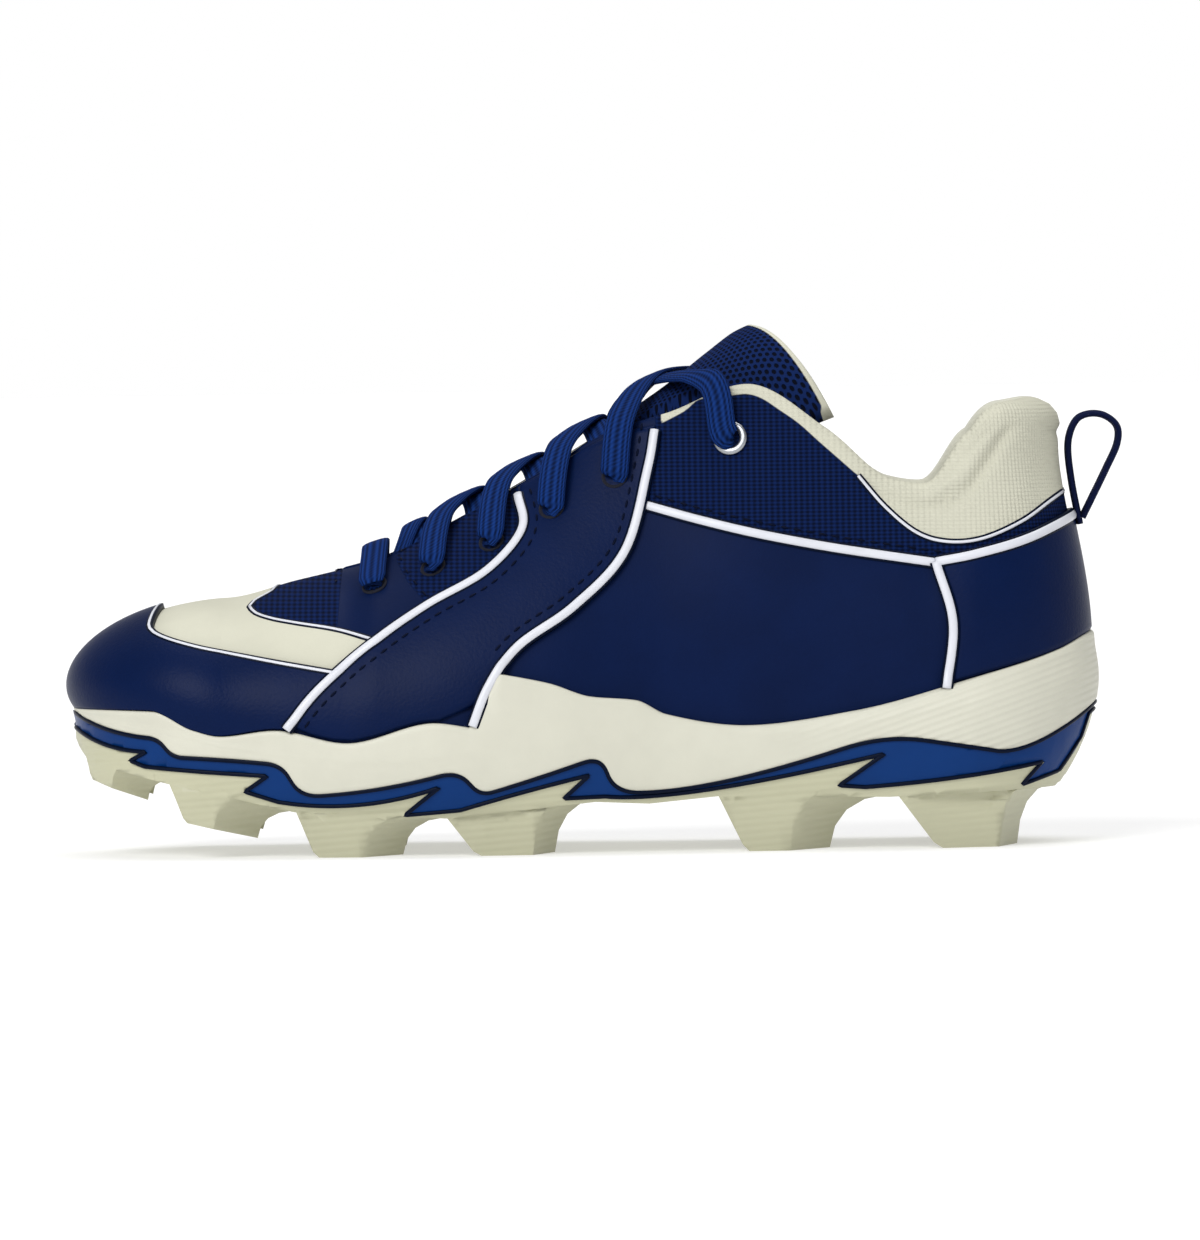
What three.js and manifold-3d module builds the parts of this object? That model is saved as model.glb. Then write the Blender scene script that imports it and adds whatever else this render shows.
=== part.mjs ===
// A low-cut baseball cleat for the left foot, standing on its moulded studs.
// Millimetres, +Z up, toe towards -X, outer side of the foot towards -Y.
// The tables below hold shares, in percent, of the named sizes that each column follows.

import * as THREE from "three";
import Module from "manifold-3d";

// Driving sizes
const length = 250; // toe tip to the back of the midsole
const ballWidth = 90; // across the sole at the ball of the foot
const heelStack = 50; // top line of the midsole at the back of the heel, above the floor
const instepHeight = 100; // top eyelet above the floor
const wall = 2.2; // upper: knit, foam and lining together
const collarPad = 9; // padded roll at the back of the collar
const clearance = 0.3; // between two pieces that touch
const overlay = 1.1; // toe cap, saddle and counter
const cupRim = 1.8; // least midsole around the upper
const plateInset = 0.4; // plate's edge behind the midsole's
const insoleThickness = 3;
const tongueThickness = 3.6;
const tongueRise = 27.5; // tongue above the instep
const tongueTop = instepHeight + tongueRise;
const laceWidth = 7;
const laceThickness = 1.6;
const eyeletBore = 4.6;
const ringOuter = 8.4; // top eyelet's ring
const ringThickness = 0.9;
const studDepth = 14; // from a stud's outer face inwards
const studLean = 2.6; // how far a stud's outer face leans in at the floor
const loopWidth = 11; // pull loop's webbing
const loopThickness = 1.7;
const loopHeight = 27; // pull loop, from its stitched foot to its top

const wasm = await Module();
wasm.setup();

// Named rows from a heading and lines of numbers
function table(heading, lines) {
  const names = heading.trim().split(/\s+/);
  return lines.map((line) => {
    const cells = line.trim().split(/\s+/).map(Number);
    return Object.fromEntries(names.map((name, i) => [name, cells[i]]));
  });
}

// One row for each half section of the shoe, from the toe tip round one side to the heel.
// turn: degrees from straight ahead. along: percent of length, where the section leaves the spine.
// lat, med, tuck, open: percent of ballWidth: sole's edge on each side, how far the upper's foot
// stands inside it, and the throat's or collar's half width. foot, belly: percent of heelStack:
// the upper's lower edge and the sole's widest height. top: percent of instepHeight.
// lean, rise, crown, shoulder: the section's two handles. pad: percent of collarPad.
// over, under: percent of ballWidth: how far the sole draws in at its top and at its bottom.
const sections = table(
  "turn along lat  med  tuck foot open top   lean rise crown shoulder pad belly over under",
  [
    "0    14.8  41.1 41.1 3.7  70   0    62.2  31   27   95.5  10       0   70    0.3  1.6",
    "45   14.8  40.7 44.7 3.6  64.6 0    62.2  27   30   92    6        0   62    0.6  2.2",
    "90   14.8  42.6 46.7 3.4  54   0    62.2  20   33   80    3        0   52    1.2  3.0",
    "90   22    46.3 49.2 3.3  48   0    66.3  14   36   74    3        0   46    1.4  3.3",
    "90   26.6  48.4 50.2 3.3  45.6 0    68.9  11   38   70    4        0   44    1.4  3.3",
    "90   30    49.6 50.4 3.3  45   11.1 71    10   40   62    9        0   44    1.4  3.3",
    "90   38    50.8 48.6 3.3  49   13.3 80.5  8    42   50    14       0   48    1.4  3.3",
    "90   46    49.2 44.4 3.3  54   15.6 91.6  6.5  42   42    19       0   54    1.4  3.3",
    "90   54    45.6 40   3.3  56.4 17.8 102.2 5    40   36    24       0   54    1.4  3.3",
    "90   58    44   38.9 3.3  57   20   104.2 5    39   34    26       35  50    1.4  3.3",
    "90   66    42.2 38.3 3.3  55.6 25.6 110.6 5    38   30    28       45  52    1.4  3.3",
    "90   74    41.3 38.8 3.6  58.6 28.9 98.6  6    38   34    28       60  56    1.6  3.4",
    "90   80    41.1 39.3 4    63.6 30   86.4  8    40   45    28       75  64    1.9  3.6",
    "90   83.2  41   39.7 4.2  66   29.8 85    9    40   36    28       82  67    2.1  4.0",
    "90   87.6  40.6 40   4.4  69   28.7 97    10   40   18    25       90  70    2.4  5.0",
    "112  87.6  39.2 39   4.4  71   27.8 103.2 12   40   0     24       97  74    2.8  7.0",
    "135  87.6  37.6 37.6 4.4  72.6 26.7 103.4 15   39   -42   23       100 78    3.0  9.5",
    "180  87.6  34.4 34.4 4.4  74   25   101.8 18.5 38   -67   23       100 82    3.2  12.8",
  ],
);

// The midsole's top line from the side. corner: 1 where the line turns sharply.
const featherLine = table("along height corner", [
  "-4    72.6  0",
  "8     71.6  0",
  "12    62.6  0",
  "14.8  59.4  0",
  "20    62    0",
  "27    55.6  0",
  "35.4  64.8  0",
  "38.8  62.6  1",
  "41.7  88.2  1",
  "46.6  83    0",
  "50.5  76.4  0",
  "54.9  74.2  0",
  "57.8  67.2  0",
  "65.6  61.2  0",
  "75.9  67.4  0",
  "87.6  82.6  0",
  "96.4  95.6  0",
  "98.8  101.4 0",
  "105   112   0",
]);

// The plate's flame-shaped edges: each row is one flame. Its upper edge runs low, rise, crest,
// its lower edge root, belly, tip, and the outsole's point under the tip ends at barb.
// All x are percent of length, all z percent of heelStack.
const flames = table(
  "lowX lowZ riseX riseZ crestX crestZ rootX rootZ bellyX bellyZ tipX tipZ barbX barbZ",
  [
    "-1.6 76   2.8   63.8  8.6    58.4   -0.8  66    3      55.6   7.4  52   5.8   47.6",
    "10   49.4 14.8  48    20.6   45.4   7.2   44.8  12.6   42.4   19.2 40   17    32.4",
    "22.4 29.8 30    33.2  37.6   41.6   20.2  27.2  28     25.4   35.8 33.6 32.4  20",
    "39.8 29.4 45    37    51.4   47.4   37.8  22.2  44     30.8   50.3 38.4 47.8  27.2",
    "52.7 30.2 63.2  34    78.8   55.8   51.8  27.8  62     30.4   78.8 46.4 74.4  31.2",
    "88.8 47.8 94    51.2  101.5  75     77    30.2  86     34.4   94.2 40.6 92.2  29.8",
  ],
);

// The outsole's underside between its studs, and the bevel at the back of the heel
const underside = table("along height", [
  "-2    58",
  "0.6   56",
  "1.6   47",
  "9.4   36.6",
  "21.8  22.2",
  "36.6  18.4",
  "50.8  25.4",
  "56    24",
  "62.6  27",
  "79.2  25.4",
  "95.4  28.2",
  "97.4  38.6",
  "99.1  55",
  "101   64",
]);

// Where the plate's lower edge runs out at the back of the heel
const bandEnd = table("along height", ["95.9  35.6", "98.2  51.6", "99 63", "101.4 71"]);

// One row for each pair of studs, in side view: percent of length and of heelStack.
// root: front edge at the sole. foot: front edge at the ground. rear: outer face's back edge at
// the ground, rising in an arc to barb. back: inner face's back edge at the ground, rising to end.
const studs = table(
  "rootX rootZ footX footZ rearX rearZ barbX barbZ backX backZ endX endZ",
  [
    "1     60    1.8   38    3.9   34    5.8   47.4  7.3   27.4  9.3  36.8",
    "9.7   36    11.1  17.6  13.9  14.4  16.9  32.4  18    8.8   21.6 22.2",
    "21.9  22.2  23.7  0     28.2  0     32.4  20    32.1  0     36.3 18",
    "36.5  18.4  39.3  0     44.7  0     47.8  27.4  46.8  0     51.2 26",
    "62.6  28    65.3  0     69.5  0     74.4  31.4  73.5  0     79.3 25.6",
    "80.2  25    83.9  0     89.8  0     92.3  29.6  91.8  0     95.4 28.4",
  ],
);

// Side-view lines on the upper. along: percent of length. height: percent of instepHeight.
const saddleFront = table("along height", [
  "21    30.4",
  "24.2  39.9",
  "29.5  50.9",
  "34.9  59.8",
  "40.7  67.9",
  "44.2  77.7",
  "43.9  86",
]);
const saddleRear = table("along height", [
  "38.9  30.5",
  "40.7  40.8",
  "43.6  50.2",
  "49    59.5",
  "54    72.5",
  "56.4  92",
  "57.2  101.6",
]);
const toeCapEdge = table("along height", [
  "9.6   63",
  "8.1   57.2",
  "8.4   53.6",
  "12.4  50.3",
  "18.6  47.3",
  "26.2  44",
]);
const counterEdge = table("along height", [
  "84.7  37",
  "85.6  54.3",
  "84.1  69",
  "88    70.9",
  "93    74.6",
  "99    81.5",
]);

// Eyelets from toe to ankle: percent of length and of instepHeight
const eyelets = table("along height", [
  "29.7  65.3",
  "35.4  69.6",
  "41.1  75.6",
  "47.1  82.7",
  "53.2  90.3",
  "64.4  99.7",
]);

// The tongue, a row for each cross section from under the vamp to its top edge.
// along: percent of length. height: percent of tongueTop. half: percent of ballWidth.
// sweep, drop: how far back and down the wings go, percent of ballWidth.
const tongueRows = table("along height half sweep drop", [
  "26    50.8  16   0    7",
  "31    55.7  19   0    9",
  "38    63    21   0    11",
  "46    71.7  22   1    13",
  "54    82.7  22   4    16",
  "58.4  88.6  20.5 9    18",
  "62.2  94.4  19   16   22",
  "65    98.4  17.5 20   24",
  "66.8  100   16   21   24",
]);

const SIDES = { lateral: -1, medial: 1 };

// Hermite curve through the rows with no overshoot, as a function of the key column
function through(rows, keyOf, valueOf) {
  const x = rows.map(keyOf);
  const y = rows.map(valueOf);
  const step = x.slice(1).map((v, i) => v - x[i]);
  const slope = step.map((h, i) => (y[i + 1] - y[i]) / h);
  const tangent = y.map((_, i) => {
    if (i === 0) return slope[0];
    if (i === y.length - 1) return slope[i - 1];
    if (slope[i - 1] * slope[i] <= 0) return 0;
    const before = 2 * step[i] + step[i - 1];
    const after = step[i] + 2 * step[i - 1];
    return (before + after) / (before / slope[i - 1] + after / slope[i]);
  });
  return (at) => {
    let i = 0;
    while (i < x.length - 2 && at > x[i + 1]) i++;
    const t = THREE.MathUtils.clamp((at - x[i]) / step[i], 0, 1);
    const a = (1 + 2 * t) * (1 - t) ** 2 * y[i] + t * (1 - t) ** 2 * step[i] * tangent[i];
    const b = t * t * (3 - 2 * t) * y[i + 1] + t * t * (t - 1) * step[i] * tangent[i + 1];
    return a + b;
  };
}

const share = (percent, size) => (percent / 100) * size;
const smooth = (from, to, at) => THREE.MathUtils.smoothstep(at, from, to);

// Position of a section round the shoe: 0 to 1 over the toe, then one for the body, one for the heel
const toeSpine = share(sections[0].along, length);
const heelSpine = share(sections[sections.length - 1].along, length);
function roundOf(turn, x) {
  if (x <= toeSpine + 1e-9) return turn / 90;
  if (x >= heelSpine - 1e-9) return 2 + (turn - 90) / 90;
  return 1 + (x - toeSpine) / (heelSpine - toeSpine);
}
const column = {};
for (const name of Object.keys(sections[0]))
  column[name] = through(
    sections,
    (row) => roundOf(row.turn, share(row.along, length)),
    (row) => row[name],
  );

// Everything that one half section needs, in millimetres
function sectionAt(turn, x, side) {
  const at = roundOf(turn, x);
  const get = (name, size) => share(column[name](at), size);
  const edge = get(side === "lateral" ? "lat" : "med", ballWidth);
  const pad = wall + get("pad", Math.max(collarPad - wall, 0));
  const angle = THREE.MathUtils.degToRad(turn);
  const direction = new THREE.Vector3(-Math.cos(angle), SIDES[side] * Math.sin(angle), 0);
  const foot = edge - get("tuck", ballWidth);
  const footZ = get("foot", heelStack);
  const open = get("open", ballWidth);
  const topZ = get("top", instepHeight);
  const rise = topZ - footZ;
  const handles = [
    [foot, footZ],
    [foot * (1 + get("lean", 1)), footZ + get("rise", rise)],
    [open + get("crown", foot - open), topZ - get("shoulder", rise)],
    [open, topZ],
  ];
  return {
    x,
    direction,
    edge,
    foot,
    footZ,
    open,
    topZ,
    pad,
    handles,
    belly: get("belly", heelStack),
    over: get("over", ballWidth),
    under: get("under", ballWidth),
    closed: open < 1e-6,
  };
}

// Point on a section, by its distance from the spine and its height
function place(section, r, z) {
  return new THREE.Vector3(section.x, 0, z).addScaledVector(section.direction, r);
}

// The upper's outer curve, moved outwards by offset; t runs from its foot to its top
function outerPoint(section, t, offset = 0) {
  const s = 1 - t;
  const weights = [s * s * s, 3 * s * s * t, 3 * s * t * t, t * t * t];
  const slopes = [-3 * s * s, 3 * s * s - 6 * s * t, 6 * s * t - 3 * t * t, 3 * t * t];
  const sum = (w, k) => w.reduce((total, value, i) => total + value * section.handles[i][k], 0);
  const run = Math.hypot(sum(slopes, 0), sum(slopes, 1));
  const outR = sum(slopes, 1) / run;
  const outZ = -sum(slopes, 0) / run;
  return [sum(weights, 0) + offset * outR, sum(weights, 1) + offset * outZ];
}

// The same curve's place at a height
function outerAt(section, z) {
  let low = 0;
  let high = 1;
  for (let i = 0; i < 40; i++) {
    const middle = (low + high) / 2;
    if (outerPoint(section, middle)[1] < z) low = middle;
    else high = middle;
  }
  return (low + high) / 2;
}
const outerRadius = (section, z) => outerPoint(section, outerAt(section, z))[0];

const wallAt = (section, t) => wall + (section.pad - wall) * smooth(0.6, 0.97, t);

// Sections round the whole shoe: toe, outer side, heel, inner side
const throatStart = share(26.6, length);
const spread = (from, to, count, power = 1) =>
  Array.from({ length: count }, (_, i) => from + (to - from) * ((i + 1) / count) ** power);
function halfShoe(side) {
  const toe = [0, 22.5, 45, 67.5, 90].map((turn) => sectionAt(turn, toeSpine, side));
  const body = [
    ...spread(toeSpine, throatStart, 3),
    ...spread(throatStart, share(58, length), 8, 1.35),
    ...spread(share(58, length), heelSpine, 7),
  ].map((x) => sectionAt(90, x, side));
  const heel = [112.5, 135, 157.5, 180].map((turn) => sectionAt(turn, heelSpine, side));
  return [...toe, ...body, ...heel];
}
const outerHalf = halfShoe("lateral");
const innerHalf = halfShoe("medial");
const round = [...outerHalf, ...innerHalf.slice(1, -1).reverse()];

// Triangles from points: corners that coincide become one, and flat ones go
class Surface {
  constructor() {
    this.points = [];
    this.index = new Map();
    this.faces = [];
  }
  vertex(p) {
    const key = [p.x, p.y, p.z].map((v) => Math.round(v * 1e4)).join();
    if (!this.index.has(key)) {
      this.index.set(key, this.points.length);
      this.points.push(p);
    }
    return this.index.get(key);
  }
  triangle(a, b, c) {
    const [i, j, k] = [a, b, c].map((p) => this.vertex(p));
    if (i !== j && j !== k && i !== k) this.faces.push([i, j, k]);
  }
  quad(a, b, c, d) {
    this.triangle(a, b, c);
    this.triangle(a, c, d);
  }
  solid() {
    const mesh = new wasm.Mesh({
      numProp: 3,
      vertProperties: new Float32Array(this.points.flatMap((p) => [p.x, p.y, p.z])),
      triVerts: new Uint32Array(this.faces.flat()),
    });
    return new wasm.Manifold(mesh);
  }
}

// Closed solid from rings of points, each ring one point per section, capped to the spine.
// The sections of a fan share one spine point, at the height of the section that runs straight out.
function stack(rings, stations) {
  const surface = new Surface();
  const count = stations.length;
  const straight = stations.map((section) => sectionAt(90, section.x, "lateral"));
  const spine = (i, ring) => new THREE.Vector3(stations[i].x, 0, ring.spineZ(straight[i]));
  const first = rings[0];
  const last = rings[rings.length - 1];
  for (let i = 0; i < count; i++) {
    const j = (i + 1) % count;
    for (let k = 0; k + 1 < rings.length; k++) {
      const [a, b] = [rings[k].points, rings[k + 1].points];
      surface.quad(a[i], a[j], b[j], b[i]);
    }
    surface.quad(spine(i, first), spine(j, first), first.points[j], first.points[i]);
    surface.quad(last.points[i], last.points[j], spine(j, last), spine(i, last));
  }
  return surface.solid();
}

// The upper's outer form as one filled solid, grown by offset and with its foot lowered by drop
function filledUpper(offset, drop, rows) {
  const rings = [];
  for (let k = 0; k <= rows; k++) {
    const t = k / rows;
    rings.push({
      points: round.map((section) => {
        const [r, z] = outerPoint(section, t, offset);
        if (t === 1 && section.closed) return place(section, 0, section.topZ + offset);
        return place(section, r, t === 0 ? section.footZ - drop : z);
      }),
      spineZ: (section) => (t === 0 ? section.footZ - drop : section.topZ + offset),
    });
  }
  return stack(rings, round);
}

// The upper: outer wall, rounded top edge, inner wall and lower edge
function makeUpper() {
  const surface = new Surface();
  const rows = 7;
  const innerRows = [0, 0.3, 0.58, 0.7, 0.82, 0.92, 1];
  const inner = (section, t) => {
    const thick = wallAt(section, t);
    if (t === 1 && section.closed) return place(section, 0, section.topZ - wall);
    const [r, z] = outerPoint(section, t, -thick);
    return place(section, Math.max(r, 0), t === 0 ? section.footZ : z);
  };
  const outer = (section, t) => place(section, ...outerPoint(section, t));
  const rim = (section, turn) => {
    const from = outer(section, 1);
    const to = inner(section, 1);
    const swell = section.closed ? 0 : (from.distanceTo(to) / 2) * Math.sin(Math.PI * turn);
    const bend = (1 - Math.cos(Math.PI * turn)) / 2;
    return from.lerp(to, bend).add(new THREE.Vector3(0, 0, swell));
  };
  round.forEach((a, i) => {
    const b = round[(i + 1) % round.length];
    for (let k = 0; k < rows; k++) {
      const [s, t] = [k / rows, (k + 1) / rows];
      surface.quad(outer(a, s), outer(b, s), outer(b, t), outer(a, t));
    }
    innerRows.slice(1).forEach((t, k) => {
      surface.quad(inner(a, t), inner(b, t), inner(b, innerRows[k]), inner(a, innerRows[k]));
    });
    surface.quad(inner(a, 0), inner(b, 0), outer(b, 0), outer(a, 0));
    if (a.closed && b.closed) return;
    for (let k = 0; k < 3; k++)
      surface.quad(rim(a, k / 3), rim(b, k / 3), rim(b, (k + 1) / 3), rim(a, (k + 1) / 3));
  });
  return surface.solid();
}

// A side-view outline drawn out across the shoe
function sidePrism(outline, from = -ballWidth, to = ballWidth) {
  const shape = new THREE.Shape(outline);
  const geometry = new THREE.ExtrudeGeometry(shape, { depth: to - from, bevelEnabled: false });
  geometry.rotateX(Math.PI / 2).translate(0, to, 0);
  return fromGeometry(geometry);
}

function fromGeometry(geometry) {
  const flat = geometry.index ? geometry.toNonIndexed() : geometry;
  const position = flat.getAttribute("position");
  const surface = new Surface();
  const at = (i) => new THREE.Vector3().fromBufferAttribute(position, i);
  for (let i = 0; i < position.count; i += 3) surface.triangle(at(i), at(i + 1), at(i + 2));
  return surface.solid();
}

const inSole = (x, z) => new THREE.Vector2(share(x, length), share(z, heelStack));
const onUpper = (row) =>
  new THREE.Vector2(share(row.along, length), share(row.height, instepHeight));

// The midsole's top line, drawn through its rows with sharp corners kept
const featherCorners = featherLine.map((row, i) => (row.corner ? i : -1)).filter((i) => i > 0);
const featherStops = [0, ...featherCorners, featherLine.length - 1];
const featherPieces = featherStops.slice(1).map((stop, i) => {
  const rows = featherLine.slice(featherStops[i], stop + 1);
  return { end: rows[rows.length - 1].along, z: through(rows, (r) => r.along, (r) => r.height) };
});
const featherFrom = share(-4, length);
const featherTo = share(105, length);
const cornerXs = featherLine.filter((row) => row.corner).map((row) => share(row.along, length));
const feather = [featherFrom, ...spread(featherFrom, featherTo, 38), ...cornerXs]
  .sort((a, b) => a - b)
  .map((x) => {
    const at = (x / length) * 100;
    const piece = featherPieces.find((p) => at <= p.end + 1e-9) ?? featherPieces.at(-1);
    return new THREE.Vector2(x, share(piece.z(at), heelStack));
  });
function featherZ(x) {
  const i = THREE.MathUtils.clamp(feather.findIndex((p) => p.x > x), 1, feather.length - 1);
  const [a, b] = [feather[i - 1], feather[i]];
  return THREE.MathUtils.mapLinear(x, a.x, b.x, a.y, b.y);
}
function featherPoints(from, to, rise = 0) {
  const inner = feather.filter((p) => p.x > from && p.x < to).map((p) => p.x);
  return [from, ...inner, to].map((x) => new THREE.Vector2(x, featherZ(x) + rise));
}

// Curve that starts at a, passes m half way and ends at b
function bow(a, m, b, count = 4) {
  const control = m.clone().multiplyScalar(2).addScaledVector(a, -0.5).addScaledVector(b, -0.5);
  return new THREE.QuadraticBezierCurve(a, control, b).getPoints(count);
}
// A short curve in place of the corner at p, between its neighbours a and b
function softCorner(a, p, b) {
  const reach = 0.45 * Math.min(a.distanceTo(p), b.distanceTo(p));
  const start = p.clone().lerp(a, reach / a.distanceTo(p));
  const end = p.clone().lerp(b, reach / b.distanceTo(p));
  return new THREE.QuadraticBezierCurve(start, p, end).getPoints(2);
}
const flameTops = flames.map((f) =>
  bow(inSole(f.lowX, f.lowZ), inSole(f.riseX, f.riseZ), inSole(f.crestX, f.crestZ)),
);
const plateTop = flameTops.flatMap((line, i) => {
  const before = flameTops[i - 1]?.at(-1);
  const after = flameTops[i + 1]?.[0];
  const low = before ? softCorner(before, line[0], line[1]) : [line[0]];
  const crest = after ? softCorner(line.at(-2), line.at(-1), after) : [line.at(-1)];
  return [...low, ...line.slice(1, -1), ...crest];
});
const plateBottom = flames.flatMap((f) => [
  ...bow(inSole(f.rootX, f.rootZ), inSole(f.bellyX, f.bellyZ), inSole(f.tipX, f.tipZ)),
  inSole(f.barbX, f.barbZ),
]);
plateBottom.push(...bandEnd.map((row) => inSole(row.along, row.height)));

// A line moved to its right-hand side, seen along it
function beside(line, distance) {
  return line.map((p, i) => {
    const before = p.clone().sub(line[Math.max(i - 1, 0)]).normalize();
    const after = line[Math.min(i + 1, line.length - 1)].clone().sub(p).normalize();
    const along = before.add(after).normalize();
    const reach = Math.min(1 / Math.max(Math.abs(along.dot(after)), 0.5), 2);
    return new THREE.Vector2(p.x + along.y * distance * reach, p.y - along.x * distance * reach);
  });
}

// The sole's side wall at a height: widest at its belly, never closer to the upper than its rim
function soleRadius(section, z, inset) {
  const outline = section.x - Math.abs(section.direction.x) * section.edge;
  const x = section.direction.x < 0 ? outline : section.x + section.direction.x * section.edge;
  const top = featherZ(x);
  const low = share(26, heelStack);
  const above = (z - section.belly) / Math.max(top - section.belly, 1);
  const below = (section.belly - z) / (section.belly - low);
  const draw = z > section.belly ? section.over * above ** 2 : section.under * below ** 2;
  const cup = z > section.footZ ? outerRadius(section, z) + cupRim : 0;
  return Math.max(section.edge - draw, cup) - inset;
}
const soleLow = share(12, heelStack);
const soleHigh = share(116, heelStack);
function soleBlock(inset) {
  const levels = spread(soleLow, soleHigh, 8);
  const rings = [soleLow, ...levels].map((z) => ({
    points: round.map((section) => place(section, soleRadius(section, z, inset), z)),
    spineZ: () => z,
  }));
  return stack(rings, round);
}

// The sole's edge seen from above, at a distance along the shoe
function soleEdge(x, side, z) {
  const half = side === "lateral" ? outerHalf : innerHalf;
  const line = half.map((section) => place(section, soleRadius(section, z, 0), z));
  const i = Math.max(line.findIndex((p) => p.x >= x), 1);
  const t = THREE.MathUtils.clamp((x - line[i - 1].x) / (line[i].x - line[i - 1].x), 0, 1);
  return Math.abs(THREE.MathUtils.lerp(line[i - 1].y, line[i].y, t));
}

// One stud: its outer face and its inner face in side view, joined by ruled faces
function makeStud(row, side) {
  const buried = share(8, heelStack);
  const arc = (a, b) => {
    const control = new THREE.Vector2(a.x + 0.08 * (b.x - a.x), a.y + 0.93 * (b.y - a.y));
    return new THREE.QuadraticBezierCurve(a, control, b).getPoints(4);
  };
  const face = (rearX, rearZ, endX, endZ) => {
    const root = inSole(row.rootX, row.rootZ);
    const foot = inSole(row.footX, row.footZ);
    const end = inSole(endX, endZ);
    const chamfer = root.clone().lerp(foot, 0.88);
    const flat = foot.clone().lerp(inSole(rearX, rearZ), 0.08);
    const up = new THREE.Vector2(0, buried);
    const rise = arc(inSole(rearX, rearZ), end);
    return [root.clone().add(up), root, chamfer, flat, ...rise, end.clone().add(up)];
  };
  const faces = [
    face(row.rearX, row.rearZ, row.barbX, row.barbZ),
    face(row.backX, row.backZ, row.endX, row.endZ),
  ];
  const rootZ = share(row.rootZ, heelStack);
  const solidFace = (outline, depth) =>
    outline.map((p) => {
      const edge = soleEdge(Math.max(p.x, 1), side, Math.max(rootZ, soleLow)) - plateInset;
      const lean = studLean * THREE.MathUtils.clamp((rootZ - p.y) / rootZ, 0, 1);
      const y = Math.max(edge - lean - depth, clearance * 4);
      return new THREE.Vector3(p.x, SIDES[side] * y, p.y);
    });
  const outside = solidFace(faces[0], 0);
  const inside = solidFace(faces[1], studDepth);
  const surface = new Surface();
  const put = (a, b, c) => (side === "lateral" ? surface.triangle(a, b, c) : surface.triangle(a, c, b));
  const caps = [faces[0], faces[1]].map((outline) => THREE.ShapeUtils.triangulateShape(outline, []));
  const area = THREE.ShapeUtils.area(faces[0]) > 0;
  const wind = (a, b, c) => (area ? put(a, b, c) : put(a, c, b));
  for (const [a, b, c] of caps[0]) wind(outside[a], outside[b], outside[c]);
  for (const [a, b, c] of caps[1]) wind(inside[a], inside[c], inside[b]);
  outside.forEach((p, i) => {
    const j = (i + 1) % outside.length;
    wind(p, inside[i], inside[j]);
    wind(p, inside[j], outside[j]);
  });
  return surface.solid();
}

function makeOutsole(cup) {
  const line = beside(plateBottom, clearance / 2);
  const ground = underside.map((row) => inSole(row.along, row.height)).reverse();
  let solid = soleBlock(plateInset).intersect(sidePrism([...line, ...ground]));
  for (const side of Object.keys(SIDES))
    for (const row of studs) solid = solid.add(makeStud(row, side));
  const far = share(110, length);
  const sky = share(150, heelStack);
  const above = [...line, new THREE.Vector2(far, sky), new THREE.Vector2(-far, sky)];
  return solid.subtract(sidePrism(above)).subtract(cup);
}

function makePlate(cup) {
  const bottom = beside(plateBottom, -clearance / 2);
  const top = beside(plateTop, clearance / 2).reverse();
  return soleBlock(plateInset).intersect(sidePrism([...bottom, ...top])).subtract(cup);
}

function makeMidsole(cup) {
  const front = share(1.2, length);
  const line = beside(plateTop, -clearance / 2);
  const next = line.findIndex((p) => p.x > front);
  const part = (front - line[next - 1].x) / (line[next].x - line[next - 1].x);
  const start = line[next - 1].clone().lerp(line[next], part);
  const top = featherPoints(front, share(104, length)).reverse();
  return soleBlock(0).intersect(sidePrism([start, ...line.slice(next), ...top])).subtract(cup);
}

function makeInsole() {
  const ring = (lift, inset) => ({
    points: round.map((s) => place(s, s.foot - wall - inset, s.footZ + lift)),
    spineZ: (s) => s.footZ + lift,
  });
  const edge = clearance + 0.5;
  return stack([ring(0, edge), ring(insoleThickness, edge)], round);
}

// Overlays: a sheet between two larger forms of the upper, inside a side-view outline
const sheetInner = filledUpper(clearance, 2 * overlay, 7);
const sheetOuter = filledUpper(clearance + overlay, 0, 7);
function makeOverlay(outline, side) {
  const reach = {
    lateral: [-ballWidth, 0],
    medial: [0, ballWidth],
    both: [-ballWidth, ballWidth],
  }[side];
  return sheetOuter.intersect(sidePrism(outline, ...reach)).subtract(sheetInner);
}
const spline = (rows, count = 12) => new THREE.SplineCurve(rows.map(onUpper)).getPoints(count);
const aboveSole = clearance * 1.5;

const toeCapLine = spline(toeCapEdge);
const frontLine = spline(saddleFront, 14);
const rearLine = spline(saddleRear, 14);
const counterLine = spline(counterEdge, 12);
const clearOfSole = (p) => p.y > featherZ(p.x) + aboveSole;

function toeCapOutline() {
  const join = toeCapLine.at(-1);
  const edge = beside(frontLine, -clearance / 2).filter((p) => clearOfSole(p) && p.y < join.y - 0.4);
  const ahead = share(-3, length);
  const low = featherPoints(ahead, edge[0].x - 0.2, aboveSole);
  const high = share(72, instepHeight);
  const corner = [new THREE.Vector2(toeCapLine[0].x, high), new THREE.Vector2(ahead, high)];
  return [...low, ...edge, ...toeCapLine.slice(0, -1).reverse(), ...corner];
}

function saddleOutline() {
  const front = beside(frontLine, clearance / 2).filter(clearOfSole);
  const rear = rearLine.filter(clearOfSole).reverse();
  const low = featherPoints(front[0].x + 0.2, rear.at(-1).x - 0.2, aboveSole).reverse();
  const throat = spread(front.at(-1).x, rear[0].x, 4).slice(0, -1);
  const edge = throat.map((x) => new THREE.Vector2(x, sectionAt(90, x, "lateral").topZ - 1.4));
  return [...front, ...edge, ...rear, ...low];
}

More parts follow.
